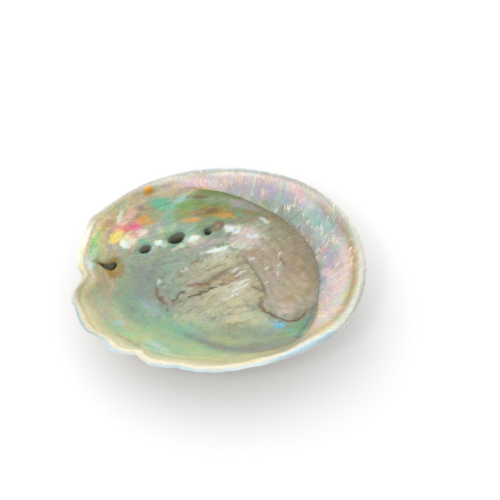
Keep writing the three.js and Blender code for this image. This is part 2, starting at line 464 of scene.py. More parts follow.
rings = {name: hole_ring(hole, flat_x, flat_y) for name, hole in HOLES.items()}
outer_rings = {name: hole_ring(on_the_back(hole), flat_x, flat_y) for name, hole in HOLES.items()}
print("holes:", ", ".join(rings))

# %% [markdown]
# ## Growth of the back
#
# The edge of a young shell was a smaller copy of today's edge, turned a little round the
# spire. Growth age undoes that: for each point of the back it finds the largest copy of
# the edge that passes through it. Bands of equal age are the growth lines, and the place
# along the copied edge is the line that every hole and every rib follows.

# %% Growth of the back
SPIRE = np.array([46.0, -13.0])
TURN_PER_AGE, TURN_PER_AGE_SQUARED = 1.05, 0.33
HEIGHT_SHARE = 0.8
SHELL_SIZE = 110.0
AGES = np.linspace(0, 3.4, 341)


def growth(points):
    """Age (0 at the edge, growing inwards) and bearing along the edge, for points."""
    rim = skin[:, RIM_ROW]
    spire_out = SPIRE - CROWN
    spire_turn = math.degrees(math.atan2(spire_out[1], spire_out[0]))
    spire_height = float(back_height(np.hypot(*spire_out), spire_turn))
    rim_out = rim[:, :2] - SPIRE
    rim_length = np.hypot(np.hypot(*rim_out.T), HEIGHT_SHARE * (rim[:, 2] - spire_height))
    rim_bearing = np.arctan2(rim_out[:, 1], rim_out[:, 0]) % (2 * math.pi)
    order = np.argsort(rim_bearing)
    out = points[:, :2] - SPIRE
    length = np.hypot(np.hypot(*out.T), HEIGHT_SHARE * (points[:, 2] - spire_height))
    bearing = np.arctan2(out[:, 1], out[:, 0])
    age = np.full(len(points), AGES[-1])
    found = np.zeros(len(points), bool)
    before = np.zeros(len(points))
    for i, candidate in enumerate(AGES):
        turned = bearing + TURN_PER_AGE * candidate + TURN_PER_AGE_SQUARED * candidate**2
        turned = turned % (2 * math.pi)
        edge = np.interp(turned, rim_bearing[order], rim_length[order], period=2 * math.pi)
        excess = np.log(np.maximum(length, 0.3)) + candidate - np.log(edge)
        crossed = (excess >= 0) & ~found
        if i:
            share = -before[crossed] / np.maximum(excess[crossed] - before[crossed], 1e-9)
            age[crossed] = AGES[i - 1] + np.clip(share, 0, 1) * (AGES[1] - AGES[0])
        else:
            age[crossed] = 0
        found |= crossed
        before = excess
    return age, bearing + TURN_PER_AGE * age + TURN_PER_AGE_SQUARED * age**2


age, edge_bearing = [v.reshape(flat_x.shape) for v in growth(skin.reshape(-1, 3))]
HOLE_BEARING = float(edge_bearing[np.argmin(abs(direction - 182)), RIM_ROW])
size_then = SHELL_SIZE * np.exp(-age)
print("bearing of the row of holes:", round(math.degrees(HOLE_BEARING)), "degrees")

# %% [markdown]
# ## Relief of the hollow
#
# The floor is not smooth. The foot muscle leaves a rough raised scar, the old whorl shows
# as a lobe with a ragged brown border, each hole sits in a little funnel with a swelling
# between it and the next, and the growing side keeps soft folds. Each is a height in
# millimetres; they are added up and pushed along the surface's own outward direction.

# %% Relief of the hollow


def oval(x, y, centre, half, turn, ragged=0.0, grain=6.0, seed=0):
    """Oval distance from a centre, 1 on the border, with a ragged border if asked."""
    c, s = math.cos(math.radians(turn)), math.sin(math.radians(turn))
    dx, dy = x - centre[0], y - centre[1]
    value = np.hypot((dx * c + dy * s) / half[0], (dy * c - dx * s) / half[1])
    if ragged:
        value = value + ragged * ripples(np.stack([x, y], -1), grain, seed)
    return value


SCAR = dict(centre=(-2.5, 3.6), half=(26.0, 18.5), turn=12)
LOBE = dict(centre=(37.0, 4.0), half=(20.5, 25.5), turn=-14)
# The lobe's left border as (y, x): traced points, turned into mm by a separate program.
LOBE_EDGE = [(-16, 26), (-9.6, 22), (-2.8, 24.8), (3.3, 23.7), (10.2, 20.1), (16.1, 17.5), (26, 13)]
FIBRE_TURN = 24

scar_oval = oval(flat_x, flat_y, **SCAR, ragged=0.07, grain=9, seed=11)
lobe_oval = oval(flat_x, flat_y, **LOBE, ragged=0.04, grain=8, seed=12)
lobe_left = np.interp(flat_y, *np.array(LOBE_EDGE).T) + 0.5 * ripples(plan, 5, 13)
lobe_oval = np.maximum(lobe_oval, 1 - (flat_x - lobe_left) / 8)
low_lobe = 1 - step(flat_y, 4, 14)
is_lobe = (1 - step(lobe_oval, 0.94, 1.04)) * is_floor
is_scar = (1 - step(scar_oval, 0.90, 1.06)) * (1 - is_lobe) * is_floor


def fibres(x, y, length, width, seed):
    """Ripples drawn out along the muscle's pull."""
    c, s = math.cos(math.radians(FIBRE_TURN)), math.sin(math.radians(FIBRE_TURN))
    along, across = x * c + y * s, y * c - x * s
    return ripples(np.stack([along / length, across / width], -1), 1.0, seed)


threads = fibres(flat_x, flat_y, 15, 2.6, 21) + 0.7 * fibres(flat_x, flat_y, 9, 1.5, 22)


def hollow_relief():
    """Height of everything raised or sunk on the floor and wall of the hollow, in mm."""
    lift = is_scar * (0.6 + 0.26 * threads)
    lift = lift + 0.6 * bell(scar_oval - 0.97, 0.06) * step(-flat_x, 16, 27) * is_floor
    lobe_border = bell(lobe_oval - 1.0, 0.05) * step(30 - flat_x, -16, 4) * low_lobe
    crumbs = 0.6 + 0.6 * ripples(plan, 2.6, 23)
    lift = lift + is_floor * (0.7 * lobe_border * crumbs - 0.4 * is_lobe * low_lobe)
    lift = lift + is_floor * (0.30 * ripples(plan, 17, 24) + 0.06 * ripples(plan, 5, 25))
    return lift


FUNNEL_DEPTH = 1.3
# Swellings of the wall between the holes: x, y and height in mm.
SWELLINGS = [(-47, 21.5, 0.8), (-30.2, 25.4, 0.9), (-11.8, 28.6, 1.0), (8.6, 32.4, 0.9), (19, 30, 0.6)]
SWELLING_HALF, SWELLING_TURN = (5.0, 3.4), 18


def hole_relief():
    """Funnels round the holes and swellings of the wall between them, in mm."""
    lift = 0 * flat_x
    for ring in rings.values():
        lift = lift - FUNNEL_DEPTH * bell(np.maximum(ring - 0.9, 0), 0.7)
    for x, y, height in SWELLINGS:
        lift = lift + height * bell(oval(flat_x, flat_y, (x, y), SWELLING_HALF, SWELLING_TURN), 1.0)
    return lift * is_floor


def fold_relief():
    """Soft folds that run along the growing edge on the left and top walls, in mm."""
    where = bell(apart(around, 158), 26) * step(from_edge, 4, 9) * (1 - step(from_edge, 22, 32))
    waver = 1.2 * ripples(plan, 22, 31)
    folds = np.sin((from_edge / 4.6 + waver) * math.pi)
    return 0.14 * where * folds * is_inside


BLISTER_AT, BLISTER_RADIUS = (133, 6.6), 2.7
blister_gap = np.hypot(apart(around, BLISTER_AT[0]) * 1.2, from_edge - BLISTER_AT[1])
blister_point = skin.reshape(-1, 3)[np.argmin(blister_gap + 99 * (1 - is_inside))]
blister_ring = np.linalg.norm(skin - blister_point, axis=-1) / BLISTER_RADIUS
blister_ring = blister_ring + 0.08 * ripples(plan, 2.4, 33)


def blister_relief():
    """A small round blister of amber nacre near the rim, a dome with a dimple, in mm."""
    dome = np.sqrt(np.clip(1 - blister_ring**2, 0, 1))
    return is_inside * (1.3 * dome - 0.4 * bell(blister_ring, 0.3))


def shelf_relief():
    """The shelf's top: low waves of two sizes, away from the rim's edge, in mm."""
    turn = np.radians(around)
    fan = np.stack([np.cos(turn) * 60, np.sin(turn) * 60, from_edge * 0.35], -1)
    return is_shelf * step(from_edge, 3, 7) * (0.12 * ripples(fan, 3.2, 41) + 0.22 * ripples(fan, 14, 42))


# %% [markdown]
# ### Drawn grooves
#
# Some lines are features, not texture: the torn grooves in the scar, the seam that bounds
# the old whorl, the crease along the near wall. They are drawn as short paths in the plan.
# Most of the points were traced, and a separate program turned them into millimetres.
# Each one sinks a groove and, later, leaves its colour in it.

# %% Drawn grooves
GROOVES = [
    # colour, width, depth, strength, path in mm
    ("umber", 0.65, 0.5, 0.95, [(-15, -2.5), (-9.5, -0.5), (-5, 1.5), (-1, 3)]),
    ("bark", 0.65, 0.4, 0.9, [(-16, 4), (-12, 4.6), (-7.5, 5.2), (-4.5, 4.6)]),
    ("bark", 0.6, 0.4, 0.75, [(-4.5, 6.5), (0, 9.5), (4.5, 11.5), (8.5, 13.3)]),
    ("bark", 0.6, 0.4, 0.8, [(0.5, 4), (5, 4.3), (8.5, 5.6), (11.5, 7.4)]),
    ("ochre", 0.6, 0.3, 0.8, [(3, 6.3), (7, 7.7), (10.5, 9.6)]),
    ("bark", 0.5, 0.3, 0.6, [(-5, 12.6), (0.5, 14.5), (5.5, 15.8)]),
    ("umber", 0.85, 0.6, 0.95, [(-24, -4.6), (-21, -1.6), (-18, 1)]),
    ("bark", 0.6, 0.3, 0.75, [(-24, -7.6), (-20, -4.2)]),
    ("bark", 1.0, 0.7, 0.95, [(-31.6, 2.6), (-31.4, -1), (-29.4, -4.4), (-27, -6.8)]),
    ("smoke", 0.8, 0.3, 0.9, [(-27, -9.4), (-26.6, -9.8)]),
    ("bark", 0.7, 0.3, 0.7, [(-13, 16.6), (-9, 19)]),
    ("bark", 0.6, 0.3, 0.7, [(-28.3, 8.5), (-27, 12)]),
    ("slate", 0.8, 0.5, 0.85, [(17, 16.5), (20, 12), (23, 6.5), (25, -1.5)]),
    ("bark", 0.6, 0.3, 0.7, [(18, 2), (23.5, -1)]),
    ("bark", 1.0, 0.5, 0.85, [(23, -4.6), (21.8, -8.4), (23, -12), (26, -14)]),
    ("umber", 0.75, 0.4, 0.85, [(26, -14), (30.5, -18), (35, -20.6), (39.5, -21), (43, -18)]),
    ("bark", 0.45, 0.2, 0.5, [(5, -9.6), (16, -9)]),
    ("bark", 0.45, 0.2, 0.5, [(4.5, -13.6), (12, -13), (18, -11)]),
    ("bark", 0.45, 0.2, 0.4, [(3.5, -19), (10, -19), (16.5, -17.4)]),
    ("sea", 0.9, 0.2, 0.7, [(-27.4, 11.4), (-20.5, 15.4), (-14, 18.6), (-10.4, 20)]),
    ("denim", 1.1, 0.4, 0.8, [(49, -13), (46.6, -19.5), (43, -26), (38, -33)]),
    ("mauve", 2.1, 0.3, 0.65, [(-17, -25.5), (-11.5, -28.6), (-4.5, -32.4), (6, -36.8), (16, -39)]),
    ("mauve", 2.0, 0.3, 0.6, [(16, -39), (26, -39.4), (34, -37.4), (39.5, -33)]),
    ("ochre", 0.8, 0.0, 0.8, [(-20.2, 9.4), (-18.6, 9.6)]),
    ("bark", 0.6, 0.2, 0.7, [(34, 15.5), (36.4, 11.4)]),
    ("bark", 0.5, 0.1, 0.9, [(35, -12.4), (35.2, -12.6)]),
    ("bark", 0.5, 0.1, 0.9, [(32.2, 3.8), (32.4, 3.6)]),
]
# Glints are painted highlights: strokes of pale paint, all but the bark stroke, which is a
# brown line. They sink nothing and reflect nothing, so they stay where they are when the eye
# or the lamps move, which real glints would not.
GLINTS = [
    # colour, width, strength, path in mm
    ("frost", 0.55, 0.85, [(11.5, 3.4), (14, 5.2), (16.6, 6)]),
    ("frost", 0.5, 0.8, [(8, -0.6), (12, 1.4), (16, 3)]),
    ("frost", 0.5, 0.8, [(10.4, 8.6), (13.4, 10), (15.6, 11)]),
    ("frost", 0.45, 0.7, [(8.6, 10.6), (11.6, 12)]),
    ("frost", 0.5, 0.6, [(4, -4.4), (8, -2.2), (12, -0.6)]),
    ("ivory", 0.5, 0.5, [(-2, -7), (3, -4.6), (7, -2.6)]),
    ("frost", 0.6, 0.9, [(18.4, 17.4), (20.2, 17.8)]),
    ("frost", 0.5, 0.8, [(33.6, 16.8), (34.2, 18.4)]),
    ("frost", 0.5, 0.8, [(33.2, 12.2), (33.8, 13.4)]),
    ("frost", 0.5, 0.7, [(31.8, 7.4), (32.4, 9)]),
    ("frost", 0.5, 0.7, [(26.2, 11), (28, 12.4)]),
    ("frost", 0.5, 0.6, [(25.6, 3.2), (26.4, 4.4)]),
    ("lemon", 0.55, 0.8, [(-42, -34.2), (-37, -36.6), (-30, -39), (-20.5, -41)]),
    ("lemon", 0.5, 0.55, [(-20.5, -41), (-10, -43.2), (0, -44.4)]),
    ("bark", 0.6, 0.45, [(-52.9, -28), (-47.4, -31), (-41.5, -35)]),
    ("frost", 0.6, 0.7, [(-31, 5.6), (-30.4, 7)]),
    ("frost", 0.5, 0.8, [(-18.8, 12.4), (-15.6, 13.4)]),
]


def path_distance(x, y, path):
    """Distance in the plan from a path of straight pieces."""
    nearest = np.full(x.shape, 1e9)
    for (x0, y0), (x1, y1) in zip(path, path[1:]):
        dx, dy = x1 - x0, y1 - y0
        share = np.clip(((x - x0) * dx + (y - y0) * dy) / (dx * dx + dy * dy), 0, 1)
        nearest = np.minimum(nearest, np.hypot(x - x0 - share * dx, y - y0 - share * dy))
    return nearest


wander_x = flat_x + 0.45 * ripples(plan, 3.5, 26)
wander_y = flat_y + 0.45 * ripples(plan, 3.5, 27)
groove_cover = [is_floor * bell(path_distance(wander_x, wander_y, g[4]), g[1]) for g in GROOVES]
groove_relief = -sum(g[2] * cover for g, cover in zip(GROOVES, groove_cover))

hollow = hollow_relief() + hole_relief() + fold_relief() + blister_relief() + shelf_relief() + groove_relief
print("relief of the hollow, mm:", round(float(hollow.min()), 2), "to", round(float(hollow.max()), 2))

# %% [markdown]
# ## Relief of the back
#
# The back carries the record of growth: fine lines and coarser steps parallel to the old
# edges, low ribs that fan out from the spire, and a ridge along the row of holes with the
# swellings of the ones that closed. Near the spire the turns are parted by a groove.

# %% Relief of the back


def back_relief():
    """Height of growth lines, steps, ribs, hole ridge, closed holes' knobs and lumps on the back, in mm."""
    wander = 1.3 * ripples(skin, 34, 51)
    clock = size_then + wander
    steps = clock / 6.5 + 0.35 * np.sin(clock / 3.1)
    ledges = (steps % 1.0) ** 2 * 0.85
    lines = 0.16 * np.sin(clock * 2 * math.pi / 1.9) + 0.12 * ripples(clock[..., None], 2.6, 52)
    ribs = 0.32 * np.sin(edge_bearing * 34 + 0.8 * ripples(skin, 26, 53)) * step(age, 0.02, 0.2)
    ridge = 1.1 * bell(edge_bearing - HOLE_BEARING, 0.10) * step(age, 0.03, 0.14)
    closed = np.cos((age - 0.555) * 2 * math.pi / 0.155) * step(age, 0.60, 0.68)
    knobs = 0.8 * np.maximum(closed, 0) * bell(edge_bearing - HOLE_BEARING, 0.09)
    lumps = 0.5 * ripples(skin, 15, 54) + 0.28 * ripples(skin, 4, 55)
    near_edge = step(from_edge, 0.5, 3.5)
    return (1 - is_inside) * (near_edge * (ledges + lines + ribs + ridge + knobs + lumps) - 0.35)


def hole_collars():
    """Raised collars round the open holes, as chimneys on the back, in mm."""
    lift = 0 * flat_x
    for ring in outer_rings.values():
        lift = lift + 1.2 * bell(ring - 1.25, 0.55)
    return (1 - is_inside) * lift


def spire_relief():
    """A low coiled mound: a soft bump with a groove along a spiral of its own, in mm."""
    dx, dy = flat_x - SPIRE[0], flat_y - SPIRE[1]
    radius = np.maximum(np.hypot(dx, dy), 0.3)
    coil = (np.log(radius / 1.2) / math.log(3.2) + np.arctan2(dy, dx) / (2 * math.pi)) % 1.0
    groove = bell(np.minimum(coil, 1 - coil), 0.10)
    where = (1 - step(radius, 13, 24)) * (1 - is_inside)
    return where * (1.3 - 1.5 * groove * step(radius, 0.8, 2.5))


back = back_relief() + hole_collars() + spire_relief()
print("relief of the back, mm:", round(float(back.min()), 2), "to", round(float(back.max()), 2))

# %% [markdown]
# ## Ragged edge
#
# Where the shell was still growing its edge is thin and uneven, with shallow scallops on
# the lower left. They only move the outermost few millimetres outwards and inwards.

# %% Ragged edge


def edge_shift():
    """Outward shift of the edge in mm: scallops on the growing side, a little waver elsewhere."""
    turn = np.radians(direction)
    circle = np.stack([np.cos(turn), np.sin(turn)], -1) * 62
    growing = bell(apart(direction, 228), 42)
    scallops = (0.12 + 0.35 * growing) * ripples(circle, 7, 61) + 0.12 * ripples(circle, 3, 62)
    return scallops[:, None] * bell(from_edge, 3.0)


outward = np.stack([np.cos(np.radians(around)), np.sin(np.radians(around)), 0 * around], -1)
carved = skin + facing(skin) * (hollow + back)[..., None] + outward * edge_shift()[..., None]
carved_height = carved[..., 2]
print("carved height, mm:", round(float(carved_height.min()), 2), "to", round(float(carved_height.max()), 2))

# %% Keep the shell on its resting flat and inside the measured box
worn = back_height(np.hypot(flat_x - CROWN[0], flat_y - CROWN[1]), around)
settle = step(worn, 0.0, 1.2) * (1 - is_inside) + is_inside
carved[..., 2] = np.where(settle < 1, skin[..., 2] + (carved[..., 2] - skin[..., 2]) * settle, carved[..., 2])
low = np.array(LOW) / MM
high = np.array(HIGH) / MM
carved = np.clip(carved, low, high)
carved[..., 2] = np.maximum(carved[..., 2], 0)

# %% [markdown]
# ## Paint
#
# The broad colours are painted point by point. First come bands at measured distances
# from the rim, different on the growing side, on the side of the holes and on the shelf.
# Then washes are laid over them one after another, as a painter would: an oval place, a
# colour and a strength, with ragged borders. Fine streaks are left to the material.
# Real nacre changes its hues as the eye moves. These are painted, so they stay in place.

# %% Palette
PALETTE = {
    "frost": (252, 253, 250), "ice": (222, 238, 242), "sky": (184, 214, 228), "steel": (166, 190, 196),
    "denim": (118, 138, 150), "azure": (128, 196, 232), "bone": (229, 229, 208), "ivory": (242, 238, 218),
    "cream": (234, 226, 196), "wheat": (222, 212, 176), "straw": (206, 204, 164), "lemon": (236, 236, 176),
    "tan": (206, 189, 150), "stone": (188, 184, 158), "sand": (178, 174, 144), "olive": (158, 150, 104),
    "lime": (194, 205, 160), "spring": (168, 220, 150), "jade": (170, 200, 166), "mint": (172, 196, 184),
    "sea": (144, 182, 160), "teal": (116, 186, 156), "aqua": (130, 206, 192), "sage": (154, 168, 146),
    "slate": (148, 158, 150), "moss": (132, 148, 92), "fern": (120, 160, 84), "ash": (194, 197, 190),
    "silver": (186, 182, 174), "pewter": (164, 168, 166), "lilac": (188, 178, 188), "mauve": (150, 144, 144),
    "blush": (234, 216, 206), "rose": (226, 204, 192), "pink": (236, 208, 212), "clay": (184, 166, 140),
    "coral": (238, 170, 160), "flame": (240, 128, 132), "magenta": (226, 104, 150),
    "apricot": (240, 190, 140),
    "orange": (220, 160, 84), "gold": (244, 222, 120), "amber": (232, 164, 22), "ochre": (168, 138, 70),
    "bark": (136, 106, 66), "umber": (104, 78, 48), "smoke": (84, 80, 70),
}


def linear(name):
    """A palette colour as linear light, the way the renderer wants it."""
    value = np.array(PALETTE[name]) / 255
    return np.where(value <= 0.04045, value / 12.92, ((value + 0.055) / 1.055) ** 2.4)


# %% Bands from the rim
# For directions round the rim: the distance in mm where each colour is reached.
BANDS = {
    0: "0 ivory 1.5 ivory 2.4 bone 4.2 bone 5 wheat 6 tan 7 tan 8.5 rose 12 blush 16 silver 20 lilac "
       "23 silver 27 clay",
    18: "0 frost 1.8 ivory 2.6 bone 3.6 ash 4.4 stone 7.5 silver 10 pewter 12 mint 19 mint 23 pewter "
        "27 clay",
    38: "0 ivory 1.3 ivory 2 ash 3 ash 4.5 blush 6 rose 9 silver 12 lilac 19 sage 22 sage 26 olive "
        "34 olive 50 clay",
    60: "0 ice 1.3 ice 2 ash 3.2 silver 4.2 blush 8 blush 10 lilac 14 lilac 18 sage 22 sage 26 moss "
        "34 olive 50 clay",
    90: "0 ice 1.6 ice 2.4 ash 3.2 ash 4 bone 5 blush 9 rose 12 silver 18 silver 21 ash 24 moss 34 moss "
        "50 sage",
    106: "0 ice 1.4 ice 2 ash 3.2 ash 4.6 wheat 6 rose 8 blush 10 pink 18 pink 21 tan 24 moss 34 moss "
         "50 sage",
    124: "0 frost 1.4 frost 2.2 ash 4 bone 6 straw 9 wheat 13 tan 16 stone 20 jade 30 sage 50 sage",
    140: "0 frost 1.4 frost 2.2 ash 3.6 stone 6.5 wheat 10 stone 13 stone 18 clay 24 clay 32 sage 50 sage",
    157: "0 ice 1.4 ash 3 stone 5.5 wheat 7.5 ivory 10 tan 15 tan 20 clay 28 silver 50 sage",
    168: "0 frost 1.4 ivory 3 cream 6 lemon 7.5 lemon 10 spring 13 jade 17 stone 24 sand 32 sand 50 slate",
    176: "0 frost 1.6 cream 4 lemon 7 ivory 10 ice 13 mint 16 clay 24 sand 34 sand 50 slate",
    181: "0 stone 1.4 stone 3.4 straw 6.5 cream 11 wheat 17 clay 24 stone 30 sage 45 slate 60 slate",
    187: "0 ivory 1.8 bone 3 ash 4 sand 6.5 stone 9 straw 13 sand 26 sand 30 sage 35 sea 45 slate 60 slate",
    194: "0 steel 2.2 steel 3.2 wheat 10 wheat 13 straw 18 stone 24 stone 30 jade 35 sage 60 slate",
    205: "0 ice 1.2 steel 2.2 ash 3.4 wheat 9 wheat 12 straw 16 straw 19 jade 23 jade 27 stone 31 lime "
         "36 jade 46 sea 60 sage",
    214: "0 ice 2.2 sky 3.4 cream 12 cream 15 straw 18 lime 30 lime 35 lime 42 jade 50 sea 60 sage",
    222: "0 bone 2 cream 4 cream 7 wheat 10 straw 13 lime 17 aqua 21 jade 25 jade 30 lime 36 jade 43 sea "
         "56 sage",
    232: "0 ice 1.8 sky 3 bone 4 cream 12 cream 15 wheat 18 lime 22 jade 28 jade 32 lime 37 jade 43 sea "
         "56 sage",
    245: "0 ice 1.5 sky 2.8 bone 4 cream 9 cream 12 wheat 16 straw 21 lime 26 lime 30 jade 36 sage "
         "44 stone 56 sage",
    260: "0 frost 1 sky 2.4 bone 4 cream 8 cream 11 wheat 14 straw 23 straw 27 jade 31 slate 36 sage "
         "44 sand 50 straw",
    275: "0 ice 1.5 ice 2.4 cream 4 wheat 6 wheat 9 straw 19 straw 23 sage 27 slate 31 mauve 36 sage "
         "44 sand 50 straw",
    292: "0 ice 0.8 steel 1.8 sky 3 bone 4.4 bone 6 wheat 8 wheat 10 straw 13 stone 18 tan 21 sage "
         "25 slate 36 sage 52 straw",
    303: "0 ice 1.2 steel 2 sky 3 sky 4 bone 5.4 bone 7 straw 9 stone 14 stone 19 sage 30 sage 50 sage",
    316: "0 ash 1.4 steel 2.5 steel 3.4 sky 4.2 ice 5 bone 6 bone 7 wheat 8 tan 10 tan 13 rose 18 tan "
         "21 sage 30 jade 46 sage",
    326: "0 ice 1 bone 1.8 ash 2.6 bone 5 bone 6 wheat 7.2 tan 8.4 tan 10.5 rose 15 blush 18 rose "
         "20 clay 24 sage 46 sage",
    336: "0 ice 1.2 ash 2.2 ash 3 bone 4.8 bone 6 tan 7 tan 8 tan 9.5 wheat 11 blush 16 rose 20 clay "
         "24 pewter 46 clay",
    345: "0 bone 1.5 ash 3 bone 4.2 bone 5 straw 6.2 tan 7.8 tan 10 wheat 12 blush 18 rose 22 silver "
         "25 denim 30 clay 50 clay",
}


def band_colours(distance, text):
    """Colours at distances from the rim, blended evenly between the stops named in the text."""
    words = text.split()
    at = [float(mm) for mm in words[0::2]]
    colours = np.array([linear(name) for name in words[1::2]])
    return np.stack([np.interp(distance, at, colours[:, c]) for c in range(3)], -1)


def band_paint(distance):
    """Bands of the two nearest listed directions, blended by direction."""
    at = sorted(BANDS)
    colour = np.zeros(distance.shape + (3,))
    for here, after in zip(at, at[1:] + [at[0]]):
        width = (after - here) % 360
        share = (around - here) % 360 / width
        between = (share >= 0) & (share < 1)
        mixed = band_colours(distance[between], BANDS[here]) * (1 - share[between])[:, None]
        colour[between] = mixed + band_colours(distance[between], BANDS[after]) * share[between][:, None]
    return colour


# %% Streaks that follow the rim
def along_the_rim(long, wide, seed):
    """Ripples drawn out along the rim, long by wide mm."""
    turn = np.radians(around)
    ring = np.stack([np.cos(turn) * 60 / long, np.sin(turn) * 60 / long, from_edge / wide], -1)
    return ripples(ring, 1.0, seed)


near_rim = 1 - step(from_edge, 30, 42) * (1 - free * is_inside)
streaks = near_rim * along_the_rim(16, 2.4, 72) + (1 - near_rim) * ripples(plan, 5, 73)
fine_streaks = near_rim * along_the_rim(9, 1.3, 74) + (1 - near_rim) * ripples(plan, 2.6, 75)
waver = 0.9 * along_the_rim(30, 9, 71) + 0.5 * streaks
wavering = from_edge + waver * step(from_edge, 5, 14) * (1 - 0.7 * is_shelf)
wavering = wavering + 0.6 * bell(apart(around, 228), 46) * step(from_edge, 0.3, 1.3)
paint = band_paint(wavering)
print("mean band colour:", paint[:, :RIM_ROW].mean((0, 1)).round(2))
